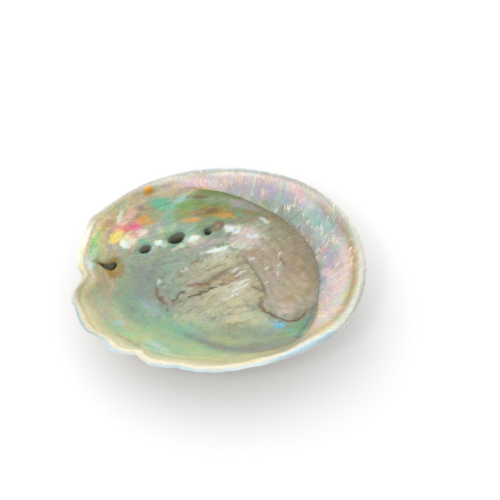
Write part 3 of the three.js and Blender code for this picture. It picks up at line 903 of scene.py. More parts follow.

# %% Washes over the bands
# Frost washes are painted highlights. The bone, ivory, pink and blush washes round the holes are pale nacre
# that also stands in for highlights where the swellings catch the light.
FLOOR_WASHES = [
    # colour, x, y, half length, half width, turn, strength
    ("sage", -42, -4, 20, 11, 100, 0.7), ("slate", -38, 4, 9, 12, 20, 0.6),
    ("mauve", -40, 10, 6, 5, 0, 0.35), ("sea", -38, -13, 12, 6, -60, 0.5),
    ("sky", -35, -10, 4, 8, 50, 0.3), ("sage", -24, 16, 12, 6, 20, 0.6),
    ("jade", -20, -22, 20, 6, -20, 0.6), ("teal", -21, -23, 9, 3.2, -30, 0.5),
    ("teal", -14, -26, 7, 2, -25, 0.35), ("jade", -30, -28, 16, 4, -30, 0.4),
    ("aqua", -33, -32, 5, 2, -30, 0.4), ("straw", -15, -14.5, 9, 3, -6, 0.75),
    ("lime", -8, -19, 8, 3, -20, 0.6), ("straw", 17, -16, 9, 5, 10, 0.6),
    ("sage", 6, -24, 22, 5, 3, 0.65), ("olive", 4, -22, 8, 4, 0, 0.35), ("lime", 14, -31, 16, 4, 8, 0.5),
    ("lime", 0, -29, 10, 3, -14, 0.5), ("mint", 27, -25, 8, 4, 12, 0.7),
    ("teal", 40, -28, 4, 7, -30, 0.6), ("fern", 40, -26, 2, 4, -30, 0.3),
    ("aqua", 38, -32, 3, 1.5, 0, 0.6), ("mauve", 22, -28, 8, 3, 6, 0.4),
    ("stone", -2, 4, 27, 19, 12, 0.8), ("straw", 3, 16, 14, 4, 16, 0.6), ("jade", -22, 4, 6, 11, 10, 0.5),
    ("teal", -23, 2, 3, 8, 0, 0.25), ("straw", 4, -6, 20, 8, 8, 0.55), ("wheat", 2, 2, 12, 4, 24, 0.5),
    ("ivory", 12, 3, 8, 4, 24, 0.55), ("pewter", 12, 9, 5, 3, 30, 0.4), ("straw", 20, 8, 3, 9, 24, 0.7),
    ("bark", -3, 7, 13, 2.2, 24, 0.25), ("ochre", 8, 7, 5, 2.4, 20, 0.25),
    ("clay", 38, 4, 19, 25, -14, 0.85), ("sand", 30, 26, 12, 8, 0, 0.6), ("clay", 26, 24, 6, 6, 0, 0.4),
    ("ochre", 42, 6, 6, 12, -10, 0.28), ("orange", 44, 10, 2.4, 4, 0, 0.35),
    ("orange", 46, 0, 1.6, 5, 0, 0.4), ("ochre", 40, -7, 9, 3, 14, 0.3),
    ("rose", 34.5, -12, 5, 4, 0, 0.5), ("silver", 31, 4, 3, 12, -20, 0.4),
    ("mauve", 45, 2, 2, 7, 0, 0.25), ("sage", 43, -13, 4, 5, 0, 0.4), ("bark", 41, -18, 5, 3, 30, 0.35),
    ("orange", 33, 19, 1.4, 2.6, 20, 0.4), ("azure", 30.4, -22.8, 3.6, 2.5, 0, 1.0),
    # side of the holes
    ("clay", -46, 32, 12, 9, 35, 0.45), ("coral", -45.6, 30.6, 7.5, 4.0, 29, 0.85),
    ("gold", -50.6, 27.0, 4.4, 2.4, 41, 0.8), ("magenta", -44, 31.9, 3.4, 1.2, 15, 0.8),
    ("flame", -47.5, 29, 4, 1.2, 32, 0.8), ("gold", -43.1, 28.8, 3.4, 0.8, 33, 0.85),
    ("frost", -48.5, 34.3, 1.3, 3.8, -29, 0.9), ("coral", -42.3, 37.6, 2.4, 2.6, 31, 0.75),
    ("orange", -36.6, 36.2, 5.2, 2.0, 8, 0.85), ("apricot", -36, 35.2, 3.4, 1.0, 4, 0.6),
    ("olive", -40, 36.6, 2.6, 0.7, 10, 0.6), ("gold", -53.5, 24.2, 2, 1.3, 24, 0.7),
    ("frost", -47.9, 24.2, 2.2, 2.4, 19, 0.95), ("mint", -52.5, 21.5, 2, 1.4, 19, 0.5),
    ("mauve", -36.5, 40.2, 5, 1.2, -4, 0.6), ("blush", -41.5, 26.5, 2.6, 1.2, 30, 0.7),
    ("silver", -36, 30, 7, 3.4, 24, 0.5), ("teal", -27.5, 42.6, 7, 2.4, 4, 0.9),
    ("aqua", -28, 43.7, 4, 1.2, 8, 0.85), ("teal", -24.0, 41.4, 4.6, 2.8, 2, 0.9),
    ("sea", -25.5, 38.4, 4, 2.4, 0, 0.7), ("steel", -17.4, 45.2, 5, 1.4, 11, 0.7),
    ("denim", -11.5, 46.6, 4, 0.8, 10, 0.5), ("teal", -20, 43, 6, 2.2, 14, 0.8),
    ("mauve", -20.6, 39.7, 2, 1.1, -6, 0.5), ("sea", -22, 36.6, 3, 1.2, 0, 0.7),
    ("fern", -14, 42.7, 3.4, 1.4, 17, 0.85), ("moss", -8, 43.4, 8, 2, -2, 0.8),
    ("fern", -9, 44.2, 4, 1, 0, 0.4), ("bark", -5, 46.4, 7, 0.8, 0, 0.6),
    ("sage", 4, 45, 10, 1.8, -4, 0.75), ("moss", 2, 43.6, 9, 1, -3, 0.5),
    ("bark", -3, 40.6, 9, 2.4, 2, 0.75), ("ochre", -12, 39.8, 5, 1.4, 17, 0.85),
    ("orange", -10, 37.4, 4.6, 0.9, 4, 0.95), ("mauve", -6, 40, 4, 1.2, 10, 0.4),
    ("ochre", 3, 41.6, 8, 1, -3, 0.7), ("ochre", 7.6, 39.8, 5.6, 1.3, -5, 0.9),
    ("orange", 4.4, 38.5, 4, 0.8, -8, 0.7), ("mauve", 15, 42.6, 7, 1.6, -14, 0.75),
    ("steel", 12.3, 43.2, 2.6, 0.7, -20, 0.6), ("lilac", 20.6, 40.6, 4, 1, -20, 0.6),
    ("moss", 25, 37.2, 6, 1, -16, 0.7), ("olive", 17, 39.6, 4.6, 1, -9, 0.6),
    ("clay", 28, 36, 6, 2.4, -24, 0.5), ("teal", 14, 38.8, 2.6, 0.8, -20, 0.6),
    ("fern", -4, 36.4, 5, 0.6, 8, 0.7), ("lilac", -17.4, 35.6, 5, 1.4, 14, 0.6),
    ("jade", -24, 33.4, 5, 1.6, 20, 0.5), ("silver", -10, 24.6, 11, 2.4, 14, 0.75),
    ("silver", 0, 27.2, 10, 2, 14, 0.7), ("mauve", -3, 25.6, 8, 1.1, 16, 0.4),
    ("pink", 16.8, 31.4, 7, 3, -9, 0.85), ("ivory", 21.5, 31, 4, 1.4, -12, 0.7),
    ("jade", 21, 28.2, 4, 1.4, 4, 0.6), ("clay", 14, 28, 5, 1.2, 6, 0.5),
    ("apricot", 9, 28.6, 3, 1, 0, 0.4), ("frost", 8.2, 33.2, 3, 1.5, -24, 1.0),
    ("frost", -30.4, 26.2, 1.9, 1.6, 11, 1.0), ("frost", -11.2, 28.9, 4.4, 1.7, 0, 1.0),
    ("frost", 0, 23, 7.4, 1.3, 9, 0.75), ("frost", 12.4, 24.2, 5.4, 0.8, -6, 0.7),
    ("frost", 27.6, 34.4, 1.2, 1, -25, 0.9), ("mint", 23.6, 34.8, 1.8, 0.6, -7, 0.7),
    ("ivory", -29, 33, 2.6, 2, 20, 0.35), ("coral", -45.5, 30.6, 7, 4, 36, 0.7),
    ("apricot", -46, 35, 5, 1.6, 40, 0.5), ("magenta", -41, 32.0, 4.4, 1.5, 28, 0.85),
    ("flame", -45.5, 30.2, 4.4, 1.3, 36, 0.7), ("gold", -51.4, 25.6, 3.2, 1.8, 46, 0.85),
    ("gold", -45.8, 27.6, 4.4, 0.8, 36, 0.7), ("orange", -34.6, 35.6, 4.6, 1.8, 12, 0.85),
    ("blush", -37.8, 30.4, 3.6, 1.4, 26, 0.8), ("mauve", -42.5, 34.6, 3, 0.9, 30, 0.5),
    ("teal", -25.9, 42.4, 8, 2.8, 10, 0.85), ("steel", -16.6, 45.4, 4.6, 1.3, 14, 0.85),
    ("teal", -22.5, 38.6, 3.6, 2, 10, 0.5), ("olive", -32.7, 39.6, 3.6, 1.8, 14, 0.6),
    ("moss", -8.1, 43.2, 6, 1.6, 4, 0.7), ("umber", -6, 46.2, 5, 0.6, 0, 0.5),
    ("lilac", 15, 43.4, 7, 1.2, -14, 0.6), ("teal", -38.4, 26.2, 2.6, 1.2, 24, 0.8),
    ("frost", -12.3, 29.0, 4.2, 1.5, 10, 0.9), ("frost", 11.1, 32.5, 3.4, 1.5, -14, 0.95),
    ("frost", -27.6, 26.6, 2.4, 1.6, 10, 0.8), ("aqua", 35, -27.4, 3.4, 1.6, -16, 0.7),
    ("ochre", 40, -6, 6, 2.6, 10, 0.4), ("blush", 33, -14.6, 3.4, 2, 10, 0.5),
    ("mint", 28, -19.6, 5, 2.4, 10, 0.6), ("azure", 30.2, -23, 3.2, 2.1, 0, 0.9),
    ("wheat", 15, -3, 8, 4, 10, 0.5), ("wheat", 21, -19, 6, 3, 10, 0.5),
    ("jade", 39, -31, 4, 4, -30, 0.5), ("sand", -31, 38, 4, 3, 16, 0.5),
    ("ice", -32, -35, 8, 2.4, -34, 0.4), ("moss", -16, 40, 6, 3.4, 14, 0.45),
    ("slate", -17, 34.4, 5, 1.6, 14, 0.6), ("slate", -24, 4, 5, 8, 10, 0.4),
    ("bone", -10, 27.5, 8, 2, 14, 0.6), ("bone", 25, 32, 5, 3, -20, 0.6),
    ("lemon", -60, 22, 4, 8, -24, 0.3), ("bone", 17, 27, 11, 4.5, -4, 0.7),
    ("bone", 11, 33, 6, 2.5, -10, 0.6), ("stone", 25, 31, 6, 4, -20, 0.5),
    ("silver", -11, 28, 8, 2.5, 14, 0.5), ("bone", 3, 21, 8, 3, 16, 0.6),
    ("wheat", -43, 41, 5, 2, 30, 0.5), ("ivory", -45.5, 25.6, 4.4, 2.6, 28, 0.8),
    ("pewter", -31, 37, 6, 3.5, 20, 0.5), ("slate", -39, 20, 6, 3, 20, 0.5),
    ("moss", -17, 39, 6, 2.6, 10, 0.5), ("sage", -24, 39, 5, 3, 10, 0.4),
    ("ochre", -2, 40.4, 10, 1.8, 0, 0.8), ("bark", 0, 41, 6, 1.2, 4, 0.6),
    ("orange", -11, 37.4, 4.6, 1.2, 6, 0.9), ("ochre", 50, 1, 2.4, 8, -6, 0.4),
    ("stone", 53, -16, 2.6, 7, -30, 0.4),
    # left end
    ("spring", -62, 21, 1.2, 6.5, -20, 0.7), ("aqua", -63.4, 17.4, 1.0, 3.4, -16, 0.6),
    ("frost", -65.4, 22, 1.2, 8, -22, 0.8), ("gold", -68.6, 21, 0.8, 6, -18, 0.5),
    ("gold", -58.6, 29.4, 0.9, 5, -30, 0.5), ("ice", -66.4, 9.5, 4, 2.6, 0, 0.7),
    ("ivory", -61, 26, 0.8, 6, -26, 0.5), ("lilac", -64.5, 12, 2, 2, 0, 0.4),
    ("clay", -60, 2, 4, 6, 10, 0.4), ("steel", -60, -14, 1.6, 6, 20, 0.4),
    ("sky", -52.5, -20, 3, 2.4, 0, 0.6),
    # second coats, which strengthen places already painted above
    ("coral", -44.5, 31.4, 7.6, 3.8, 34, 0.7), ("rose", -44, 35.4, 6, 1.4, 36, 0.6),
    ("flame", -44.8, 31.6, 5.4, 1.5, 32, 0.8), ("magenta", -41.2, 32.4, 3.8, 1.0, 26, 0.9),
    ("mauve", -42.6, 33.6, 2.6, 0.8, 30, 0.5), ("orange", -35, 36, 4.8, 2.0, 12, 0.85),
    ("gold", -50.4, 27.2, 4.0, 1.8, 42, 0.9), ("lemon", -46.4, 27.9, 4.6, 0.8, 36, 0.8),
    ("blush", -37.8, 30.6, 3.6, 1.3, 26, 0.8), ("ochre", -6, 4.4, 9, 1.6, 22, 0.5),
    ("bark", 3, 9.6, 8, 1.4, 26, 0.45), ("ochre", 6, 6.6, 6, 1.2, 22, 0.5),
    ("blush", 18, 29, 9, 3.6, -8, 0.8), ("lilac", -1, 27.4, 9, 1.8, 12, 0.6),
    ("silver", -20, 33, 5, 1.6, 18, 0.5), ("mauve", -3.5, 37.4, 5, 0.9, 6, 0.4),
    ("lilac", 14, 42.6, 7, 1.6, -14, 0.6), ("bone", -34, 22.8, 4, 1.6, 20, 0.5),
    ("umber", 0, 40.8, 5, 1.2, 6, 0.35), ("orange", 8.4, 38.8, 4.4, 1.0, -10, 0.7),
    ("fern", 5, 36.8, 5, 0.8, 10, 0.5), ("olive", -31, 38.5, 4.4, 2.6, 16, 0.5),
    ("fern", -15, 43.5, 4, 1.8, 14, 0.4), ("mint", 26, -20.6, 5, 2, 10, 0.6),
    # The last frost washes of the list are painted highlights, laid last so that nothing covers them.
    ("tan", 42, 0, 5, 12, -10, 0.45), ("frost", -12.3, 29.0, 4.6, 1.7, 10, 1.0),
    ("frost", 11.1, 32.5, 3.6, 1.7, -14, 1.0), ("frost", -27.8, 26.6, 2.6, 1.8, 10, 1.0),
    ("frost", -47.3, 23.4, 2.8, 2.2, 24, 1.0), ("frost", 2, 23.6, 8.4, 1.2, 12, 0.9),
    ("frost", 20.5, 28.6, 4.4, 1.1, -14, 0.9), ("pink", 12, 27.6, 6, 1.2, 4, 0.7),
    ("frost", 26.5, 35.2, 3.4, 0.9, -30, 0.8), ("frost", -18.6, 25.4, 4, 0.9, 24, 0.6),
]
# The frost washes here are painted highlights along the top of the shelf.
SHELF_WASHES = [
    ("mint", 50.7, 27, 8, 5, -54, 0.8), ("aqua", 52.6, 22, 4, 2, -30, 0.5),
    ("teal", 52, 25, 5, 3, -60, 0.3), ("steel", 60, 18, 6, 3.4, -50, 0.55),
    ("lilac", 61.8, 22, 5, 2, -50, 0.5), ("sage", 47, 22, 8, 2.6, -56, 0.6),
    ("clay", 53, -20, 3, 8, -25, 0.5), ("pink", -4, 46, 11, 2.4, -4, 0.9),
    ("blush", -22, 47.4, 7, 2, 8, 0.8), ("sage", 51.5, 10, 5, 3, -70, 0.5),
    ("lilac", 57, 6, 4, 6, 0, 0.6), ("lilac", 59, -2, 5, 3, 10, 0.6), ("pink", 55, -4, 3.4, 2.6, -9, 0.7),
    ("rose", 55, -17, 5, 10, -35, 0.7), ("blush", 60, -8, 5, 5, 0, 0.5),
    ("orange", 67.8, 8, 0.9, 4, -10, 0.5), ("gold", 58.6, 27.6, 3, 1.4, -57, 0.35),
    ("pink", 48, 34, 8, 3, -44, 0.5), ("sage", 38, 34, 9, 4, -36, 0.4),
    ("steel", 36, 36, 5, 2.4, -30, 0.5), ("lilac", 30, 42, 12, 4, -24, 0.5),
    ("silver", 14, 47, 16, 3, -6, 0.4), ("pink", -6, 48, 12, 3.4, 0, 0.8),
    ("frost", -14, 50, 5, 1.4, -4, 0.4), ("lilac", -24, 48.2, 4, 1.6, 0, 0.6),
    ("frost", 4, 51.4, 7, 1, 0, 0.5), ("frost", 20, 50, 6, 1, -10, 0.4),
    ("ivory", 60, 13, 1.2, 4, 0, 0.3), ("magenta", 54.6, 8, 2.4, 0.8, 6, 0.35),
    ("straw", 55, 16, 5, 1.4, 20, 0.4),
]


flame_area = 1 - step(oval(flat_x, flat_y, (-43, 31), (12, 7), 34), 0.6, 1.2)


def lay_washes(paint, washes, layer):
    """Lays each wash over the paint on one layer, with borders broken up by streaks."""
    rough = 0.17 * streaks + 0.13 * fine_streaks + 0.08 * ripples(plan, 2.2, 82)
    rough = rough * (1 - 0.5 * flame_area)
    for colour, x, y, long, wide, turn, strength in washes:
        reach = oval(flat_x, flat_y, (x, y), (long, wide), turn) + rough
        cover = strength * (1 - step(reach, 0.45, 1.25)) * layer
        paint = paint + cover[..., None] * (linear(colour) - paint)
    return paint


paint = lay_washes(paint, FLOOR_WASHES, is_inside * (1 - is_shelf))
shelf_layer = np.maximum(is_shelf, is_inside * free * (1 - step(from_edge, 14, 20)))
paint = lay_washes(paint, SHELF_WASHES, shelf_layer)
print("washes laid:", len(FLOOR_WASHES) + len(SHELF_WASHES))

# %% Lip of the shelf, grooves, halos and stains, with painted shade and highlights


def tint(paint, cover, colour):
    """Moves the paint towards a colour by a cover of 0 to 1."""
    return paint + np.clip(cover, 0, 1)[..., None] * (linear(colour) - paint)


STAIN = dict(centre=(-52.6, 10.6), half=(6.4, 4.6), turn=62, ragged=0.12, grain=4, seed=83)
PLUG = dict(centre=(2.2, 34.6), half=(3.2, 1.9), turn=24, ragged=0.14, grain=2.4, seed=84)
PALE_PATCH_AT, PALE_PATCH_HALF = (-65.4, 1.6), (2.4, 3.0)
LIP_UNDERSIDE = 0.574
LOBE_TURN = math.radians(-52)

right_side = bell(apart(around, -8), 40)
paint = tint(paint, 0.6 * is_shelf * right_side * bell(from_edge - 7.2, 1.4), "ochre")
far_side = bell(apart(around, 92), 42)
# Partly painted highlight: the pale ash line along the lip on the far side is the lip's grey colour and also
# the light caught on its edge.
paint = tint(paint, 0.85 * is_lip * far_side, "ash")
paint = tint(paint, 0.9 * is_lip * right_side, "denim")
# Painted shade: a thin dark line just under the lip, where the shelf hangs over the
# floor. It follows the shell, whatever the camera sees.
shade_under_lip = free * is_inside * bell(place - LIP_UNDERSIDE, 0.012)
paint = tint(paint, 0.9 * shade_under_lip * bell(apart(around, 44), 34), "smoke")
paint = tint(paint, 0.6 * shade_under_lip * bell(apart(around, 88), 26), "umber")
paint = tint(paint, 0.6 * shade_under_lip * bell(apart(around, -10), 30), "umber")
lobe_along = flat_x * math.cos(LOBE_TURN) + flat_y * math.sin(LOBE_TURN)
lobe_across = flat_y * math.cos(LOBE_TURN) - flat_x * math.sin(LOBE_TURN)
lobe_streaks = ripples(np.stack([lobe_along / 9, lobe_across / 2.4], -1), 1.0, 85)
lobe_streaks = lobe_streaks + 0.6 * ripples(plan, 5, 86)
paint = tint(paint, 0.40 * is_lobe * step(lobe_streaks, 0.0, 1.0), "olive")
paint = tint(paint, 0.22 * is_lobe * step(-lobe_streaks, 0.2, 1.2), "rose")
for (colour, _, _, strength, _), cover in zip(GROOVES, groove_cover):
    paint = tint(paint, strength * cover, colour)
# Painted highlights: the pale glint strokes. The one bark stroke is a brown line.
for colour, width, strength, path in GLINTS:
    paint = tint(paint, strength * is_inside * bell(path_distance(wander_x, wander_y, path), width), colour)
for name, ring in rings.items():
    if name == "newest":
        stain = oval(flat_x, flat_y, **STAIN)
        paint = tint(paint, 0.85 * is_floor * (1 - step(stain, 0.75, 1.1)), "ochre")
        paint = tint(paint, 0.6 * is_floor * bell(ring - 1.2, 0.5), "ochre")
    else:
        paint = tint(paint, 0.65 * is_floor * bell(ring - 1.5, 0.6), "sea")
    # Painted shade: the inner mouth of every hole is painted near black, which also darkens the tunnel wall.
    paint = tint(paint, 0.95 * bell(np.maximum(ring - 1.0, 0), 0.16), "smoke")
plug = oval(flat_x, flat_y, **PLUG)
paint = tint(paint, 0.6 * is_floor * bell(np.maximum(plug - 1, 0), 0.4), "sea")
paint = tint(paint, 0.9 * is_floor * (1 - step(plug, 0.6, 1.1)), "bark")
paint = tint(paint, 0.6 * is_floor * (1 - step(plug, 0.2, 0.7)), "clay")
paint = tint(paint, 0.7 * is_floor * bell(plug - 1.0, 0.25), "bark")
paint = tint(paint, is_inside * (1 - step(blister_ring, 0.85, 1.1)), "amber")
paint = tint(paint, 0.6 * is_inside * bell(blister_ring, 0.4), "ochre")
paint = tint(paint, 0.7 * is_inside * bell(blister_ring - 1.3, 0.35) * step(from_edge, 6, 9), "orange")
patch_across = np.abs(flat_x - PALE_PATCH_AT[0]) / PALE_PATCH_HALF[0]
patch_up = np.abs(flat_y - PALE_PATCH_AT[1]) / PALE_PATCH_HALF[1]
pale_patch = 1 - step(np.maximum(patch_across, patch_up), 0.7, 1.1)
paint = tint(paint, 0.7 * is_inside * pale_patch, "wheat")
paint = tint(paint, 0.8 * is_lip * bell(apart(around, 109), 9), "orange")
print("grooves and glints painted:", len(GROOVES) + len(GLINTS))

# %% [markdown]
# ### Evening out the lamps
#
# The lamps leave the wall under the far rim dark and light the shelf strongly. Here the
# paint is divided by a rough guess of the light that each region gets, so the far wall is
# painted lighter and the shelf darker than they are. That suits this scene's lamps only:
# under others the shell looks unevenly coloured. The guess depends on the place on the
# shell and on nothing that the camera does.

# %% Evening out the lamps
BRIGHTEST_PAINT = 0.96
far_wall = bell(apart(around, 112), 50) * step(from_edge, 7, 14) * (1 - step(from_edge, 34, 52)) * is_inside
deep = step(from_edge, 22, 36) * is_inside * (1 - is_shelf)
growing_side = bell(apart(around, 232), 62)
lamp_guess = 0.98 + 0.12 * is_shelf - 0.21 * far_wall * (1 - is_shelf)
lamp_guess = lamp_guess + 0.13 * deep * (1 - step(flat_y, 8, 26))
lamp_guess = lamp_guess + 0.13 * is_shelf * bell(apart(around, 0), 50)
margin_light = 0.08 * bell(from_edge - 2.8, 1.3) - 0.10 * bell(from_edge - 8, 4.5)
lamp_guess = lamp_guess + growing_side * margin_light
paint = np.clip(paint / lamp_guess[..., None], 0, BRIGHTEST_PAINT)
print("lamp guess, least and most:", round(float(lamp_guess.min()), 2), round(float(lamp_guess.max()), 2))

# %% [markdown]
# ### Paint of the back
#
# The back is dull and banded. Age drives its colours: a pale band at the edge, then grey
# green and brown bands of uneven width, with chalky patches where the surface has worn.

# %% Paint of the back
BACK_PALETTE = {
    "chalk": (196, 188, 170), "grey": (152, 146, 130), "green": (124, 128, 104),
    "brown": (116, 92, 70), "red": (146, 102, 80), "pale": (220, 228, 230),
}
PALETTE.update(BACK_PALETTE)


def back_paint():
    """Growth bands of the back, worn patches and a pale margin."""
    clock = size_then + 1.6 * ripples(skin, 30, 91)
    band = ripples(clock[..., None], 15, 92)
    fine = ripples(clock[..., None], 4, 93)
    colour = np.broadcast_to(linear("grey"), skin.shape).copy()
    patches = ripples(skin, 16, 95) + 0.6 * ripples(skin, 5, 96)
    colour = tint(colour, 0.8 * step(band + 0.4 * patches, -0.1, 0.7), "green")
    colour = tint(colour, 0.7 * step(-band - 0.3 * patches, 0.0, 0.8), "red")
    colour = tint(colour, 0.6 * step(fine, 0.1, 0.9), "brown")
    crusts = ripples(skin, 9, 94) + 0.7 * ripples(skin, 2.6, 97) + 0.3 * patches
    colour = tint(colour, 0.45 * step(crusts, 0.6, 1.0), "chalk")
    colour = tint(colour, 0.7 * (1 - step(from_edge + 1.5 * patches, 2, 6)), "pale")
    return colour


paint = is_inside[..., None] * paint + (1 - is_inside)[..., None] * back_paint()
print("mean colour of the back:", paint[:, RIM_ROW + 1 :].mean((0, 1)).round(2))

# %% [markdown]
# ## Coordinates for the material
#
# Streaks in the nacre follow the shell, so the material gets two sets of coordinates of
# its own. Fan coordinates wrap round the rim, with a slant that grows on the spire's
# side: a pattern drawn out along them gives strokes across the shelf or bands along the
# edge. Growth coordinates do the same for the back.

# %% Coordinates for the material
FAN_RADIUS = 60.0


def wrapped(angle, third):
    """An angle as a point on a circle, with a third measure on top, so there is no seam."""
    return np.stack([FAN_RADIUS * np.cos(angle), FAN_RADIUS * np.sin(angle), third], -1)


slant = (0.5 + 0.5 * np.cos(np.radians(around + 20))) * is_shelf
fan = wrapped(np.radians(around) + slant * (from_edge - 8) / FAN_RADIUS, from_edge)
rings_of_growth = wrapped(edge_bearing, size_then)
flow = np.where(is_inside[..., None] > 0.5, fan, rings_of_growth)

across_shelf = np.array([1 / 3.4, 1 / 3.4, 1 / 9.0])
shelf_shimmer = 0.6 * ripples(fan * across_shelf, 1.0, 101) + ripples(fan * across_shelf / 3, 1.0, 102)
floor_shimmer = 0.9 * streaks + 0.6 * fine_streaks + 0.6 * ripples(plan, 16, 103) + from_edge / 24
shimmer = is_shelf * shelf_shimmer + (1 - is_shelf) * floor_shimmer

left_side = bell(apart(around, 160), 26) * (1 - step(from_edge, 30, 44))
pearl = 0.45 + 0.10 * is_shelf + 0.35 * left_side - 0.30 * growing_side * (1 - step(from_edge, 14, 22))
pearl = np.clip(pearl - 0.25 * is_scar - 0.2 * is_lobe - 0.4 * flame_area, 0, 1)
pearl = pearl * step(from_edge, 2.5, 6) * is_inside
regions = np.stack([is_inside, is_scar, is_shelf, pearl], -1)
lobe_rim = bell(lobe_oval - 1.0, 0.07) * low_lobe * is_floor
lobes = np.stack([is_lobe, is_floor, lobe_rim, np.ones_like(is_lobe)], -1)
print("coordinates ready for", flow.shape[0] * flow.shape[1], "points")

# %% [markdown]
# ## Mesh
#
# The grid becomes quads, with one point closing the floor and one closing the crown. The
# holes are then cut: faces inside a ring go, the points left on the border slide onto the
# ring, and the inner and outer borders are joined by a band that is the wall of the hole.

# %% Mesh


def grid_faces(columns, rows):
    """Quads of a grid that closes on itself sideways, and triangles that close its ends."""
    column = np.arange(columns)[:, None] * rows
    beside = (np.arange(1, columns + 1)[:, None] % columns) * rows
    row = np.arange(rows - 1)[None, :]
    quads = np.stack([column + row, column + row + 1, beside + row + 1, beside + row], -1).reshape(-1, 4)
    first, last = columns * rows, columns * rows + 1
    start = np.stack([0 * column + first, column, beside], -1).reshape(-1, 3)
    end = np.stack([column + rows - 1, 0 * column + last, beside + rows - 1], -1).reshape(-1, 3)
    return quads, np.concatenate([start, end])


def with_poles(values):
    """Flattens a grid of values and adds one for the floor's middle and one for the crown's."""
    flat = values.reshape(-1, values.shape[-1])
    return np.concatenate([flat, values[:, 0].mean(0)[None], values[:, -1].mean(0)[None]])


def skin_mesh(name):
    """The carved skin as a mesh, with paint, regions and coordinates stored on its points."""
    quads, triangles = grid_faces(*carved.shape[:2])
    points = with_poles(carved)
    points[-1, 2] = 0
    mesh = bpy.data.meshes.new(name)
    mesh.from_pydata(points * MM, [], quads.tolist() + triangles.tolist())
    covered = np.concatenate([paint, is_inside[..., None]], -1)
    for label, values in (("paint", covered), ("regions", regions), ("lobes", lobes)):
        layer = mesh.attributes.new(label, "FLOAT_COLOR", "POINT")
        layer.data.foreach_set("color", with_poles(values).astype(np.float32).ravel())
    layer = mesh.attributes.new("flow", "FLOAT_VECTOR", "POINT")
    layer.data.foreach_set("vector", with_poles(flow).astype(np.float32).ravel())
    layer = mesh.attributes.new("shimmer", "FLOAT", "POINT")
    layer.data.foreach_set("value", with_poles(shimmer[..., None]).astype(np.float32).ravel())
    mesh.polygons.foreach_set("use_smooth", np.ones(len(mesh.polygons), bool))
    return mesh


shell_mesh = skin_mesh("abalone_shell_surface")
print("faces before the holes:", len(shell_mesh.polygons))

# %% Cut the holes


def slide_to_ring(vertex, hole, normal):
    """Moves a point in plan onto the hole's ring, and keeps it on the slope of the surface."""
    x, y = vertex.co.x / MM, vertex.co.y / MM
    for _ in range(3):
        ring = float(hole_ring(hole, np.float64(x), np.float64(y)))
        share = 1 / max(ring, 0.2)
        x, y = hole["x"] + (x - hole["x"]) * share, hole["y"] + (y - hole["y"]) * share
    dx, dy = x * MM - vertex.co.x, y * MM - vertex.co.y
    upright = normal.z if abs(normal.z) > 0.2 else math.copysign(0.2, normal.z)
    tilt = (normal.x * dx + normal.y * dy) / upright
    vertex.co = (vertex.co.x + dx, vertex.co.y + dy, vertex.co.z - tilt)


def cut_hole(mesh, hole):
    """Deletes the faces inside the ring on both sides of the wall and joins the two borders."""
    work = bmesh.new()
    work.from_mesh(mesh)
    middles = np.array([f.calc_center_median() for f in work.faces]) / MM
    downwards = np.array([f.normal.z for f in work.faces]) < 0
    back_hole = on_the_back(hole)
    inner_cut = (hole_ring(hole, middles[:, 0], middles[:, 1]) < 1.0) & ~downwards
    outer_cut = (hole_ring(back_hole, middles[:, 0], middles[:, 1]) < 1.0) & downwards
    low_enough = middles[:, 2] < HOLES_BELOW
    work.faces.ensure_lookup_table()
    doomed = [work.faces[i] for i in np.nonzero((inner_cut | outer_cut) & low_enough)[0]]
    bmesh.ops.delete(work, geom=doomed, context="FACES")
    border = [e for e in work.edges if e.is_boundary]
    spots = {v: v.normal.copy() for e in border for v in e.verts}
    for vertex, normal in spots.items():
        slide_to_ring(vertex, hole if normal.z > 0 else back_hole, normal)
    joined = bmesh.ops.bridge_loops(work, edges=border)
    for face in joined["faces"]:
        face.smooth = True
    bmesh.ops.recalc_face_normals(work, faces=work.faces)
    work.to_mesh(mesh)
    work.free()
    return len(doomed)


for name, hole in HOLES.items():
    print("cut the", name, "hole:", cut_hole(shell_mesh, hole), "faces removed")

# %% Place the shell in the scene
shell = bpy.data.objects.new("abalone_shell_nacre", shell_mesh)
bpy.context.scene.collection.objects.link(shell)
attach(shell, "root")
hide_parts("abalone_shell")
print("faces in all:", len(shell_mesh.polygons))

# %% [markdown]
# ## Material
#
# One material serves both sides, because they are one skin. The painted colour is its
# base. On the inside fine strokes of varied hue are laid over it for the nacre, fibres
# and brown grooves for the scar, and pale flecks for the lobe. On the back come growth
# lines and grit. A mask keeps the two apart, and also makes the inside smoother. Pale
# glint strokes on the shelf are painted highlights, and the pale threads of the scar are
# partly painted highlights, all in the base colour. The rest of the gloss comes from the
# shader's coat and the lamps.

# %% Node helpers
shell_material = bpy.data.materials.new("shell_nacre_and_crust")
shell_material.use_nodes = True
tree = shell_material.node_tree
tree.nodes.clear()
shell_mesh.materials.append(shell_material)


def put(kind, inputs=None, **settings):
    """Adds a node, sets its properties, and sets or links its inputs."""
    made = tree.nodes.new(kind)
    for key, value in settings.items():
        setattr(made, key, value)
    for key, value in (inputs or {}).items():
        socket = made.inputs[key]
        if isinstance(value, bpy.types.NodeSocket):
            tree.links.new(value, socket)
        else:
            socket.default_value = value
    return made


def math_node(operation, a, b=0.0):
    """One arithmetic step."""
    return put("ShaderNodeMath", {0: a, 1: b}, operation=operation).outputs[0]


def blend(a, b, factor, how="MIX"):
    """Mixes two colours."""
    made = put("ShaderNodeMix", {0: factor, 6: a, 7: b}, data_type="RGBA", blend_type=how)
    return made.outputs[2]


def mix_values(factor, a, b):
    """Mixes two plain numbers."""
    return put("ShaderNodeMix", {0: factor, 2: a, 3: b}, data_type="FLOAT").outputs[0]


def solid(name):
    """A palette colour as a shader colour, with its opacity."""
    return (*linear(name), 1)


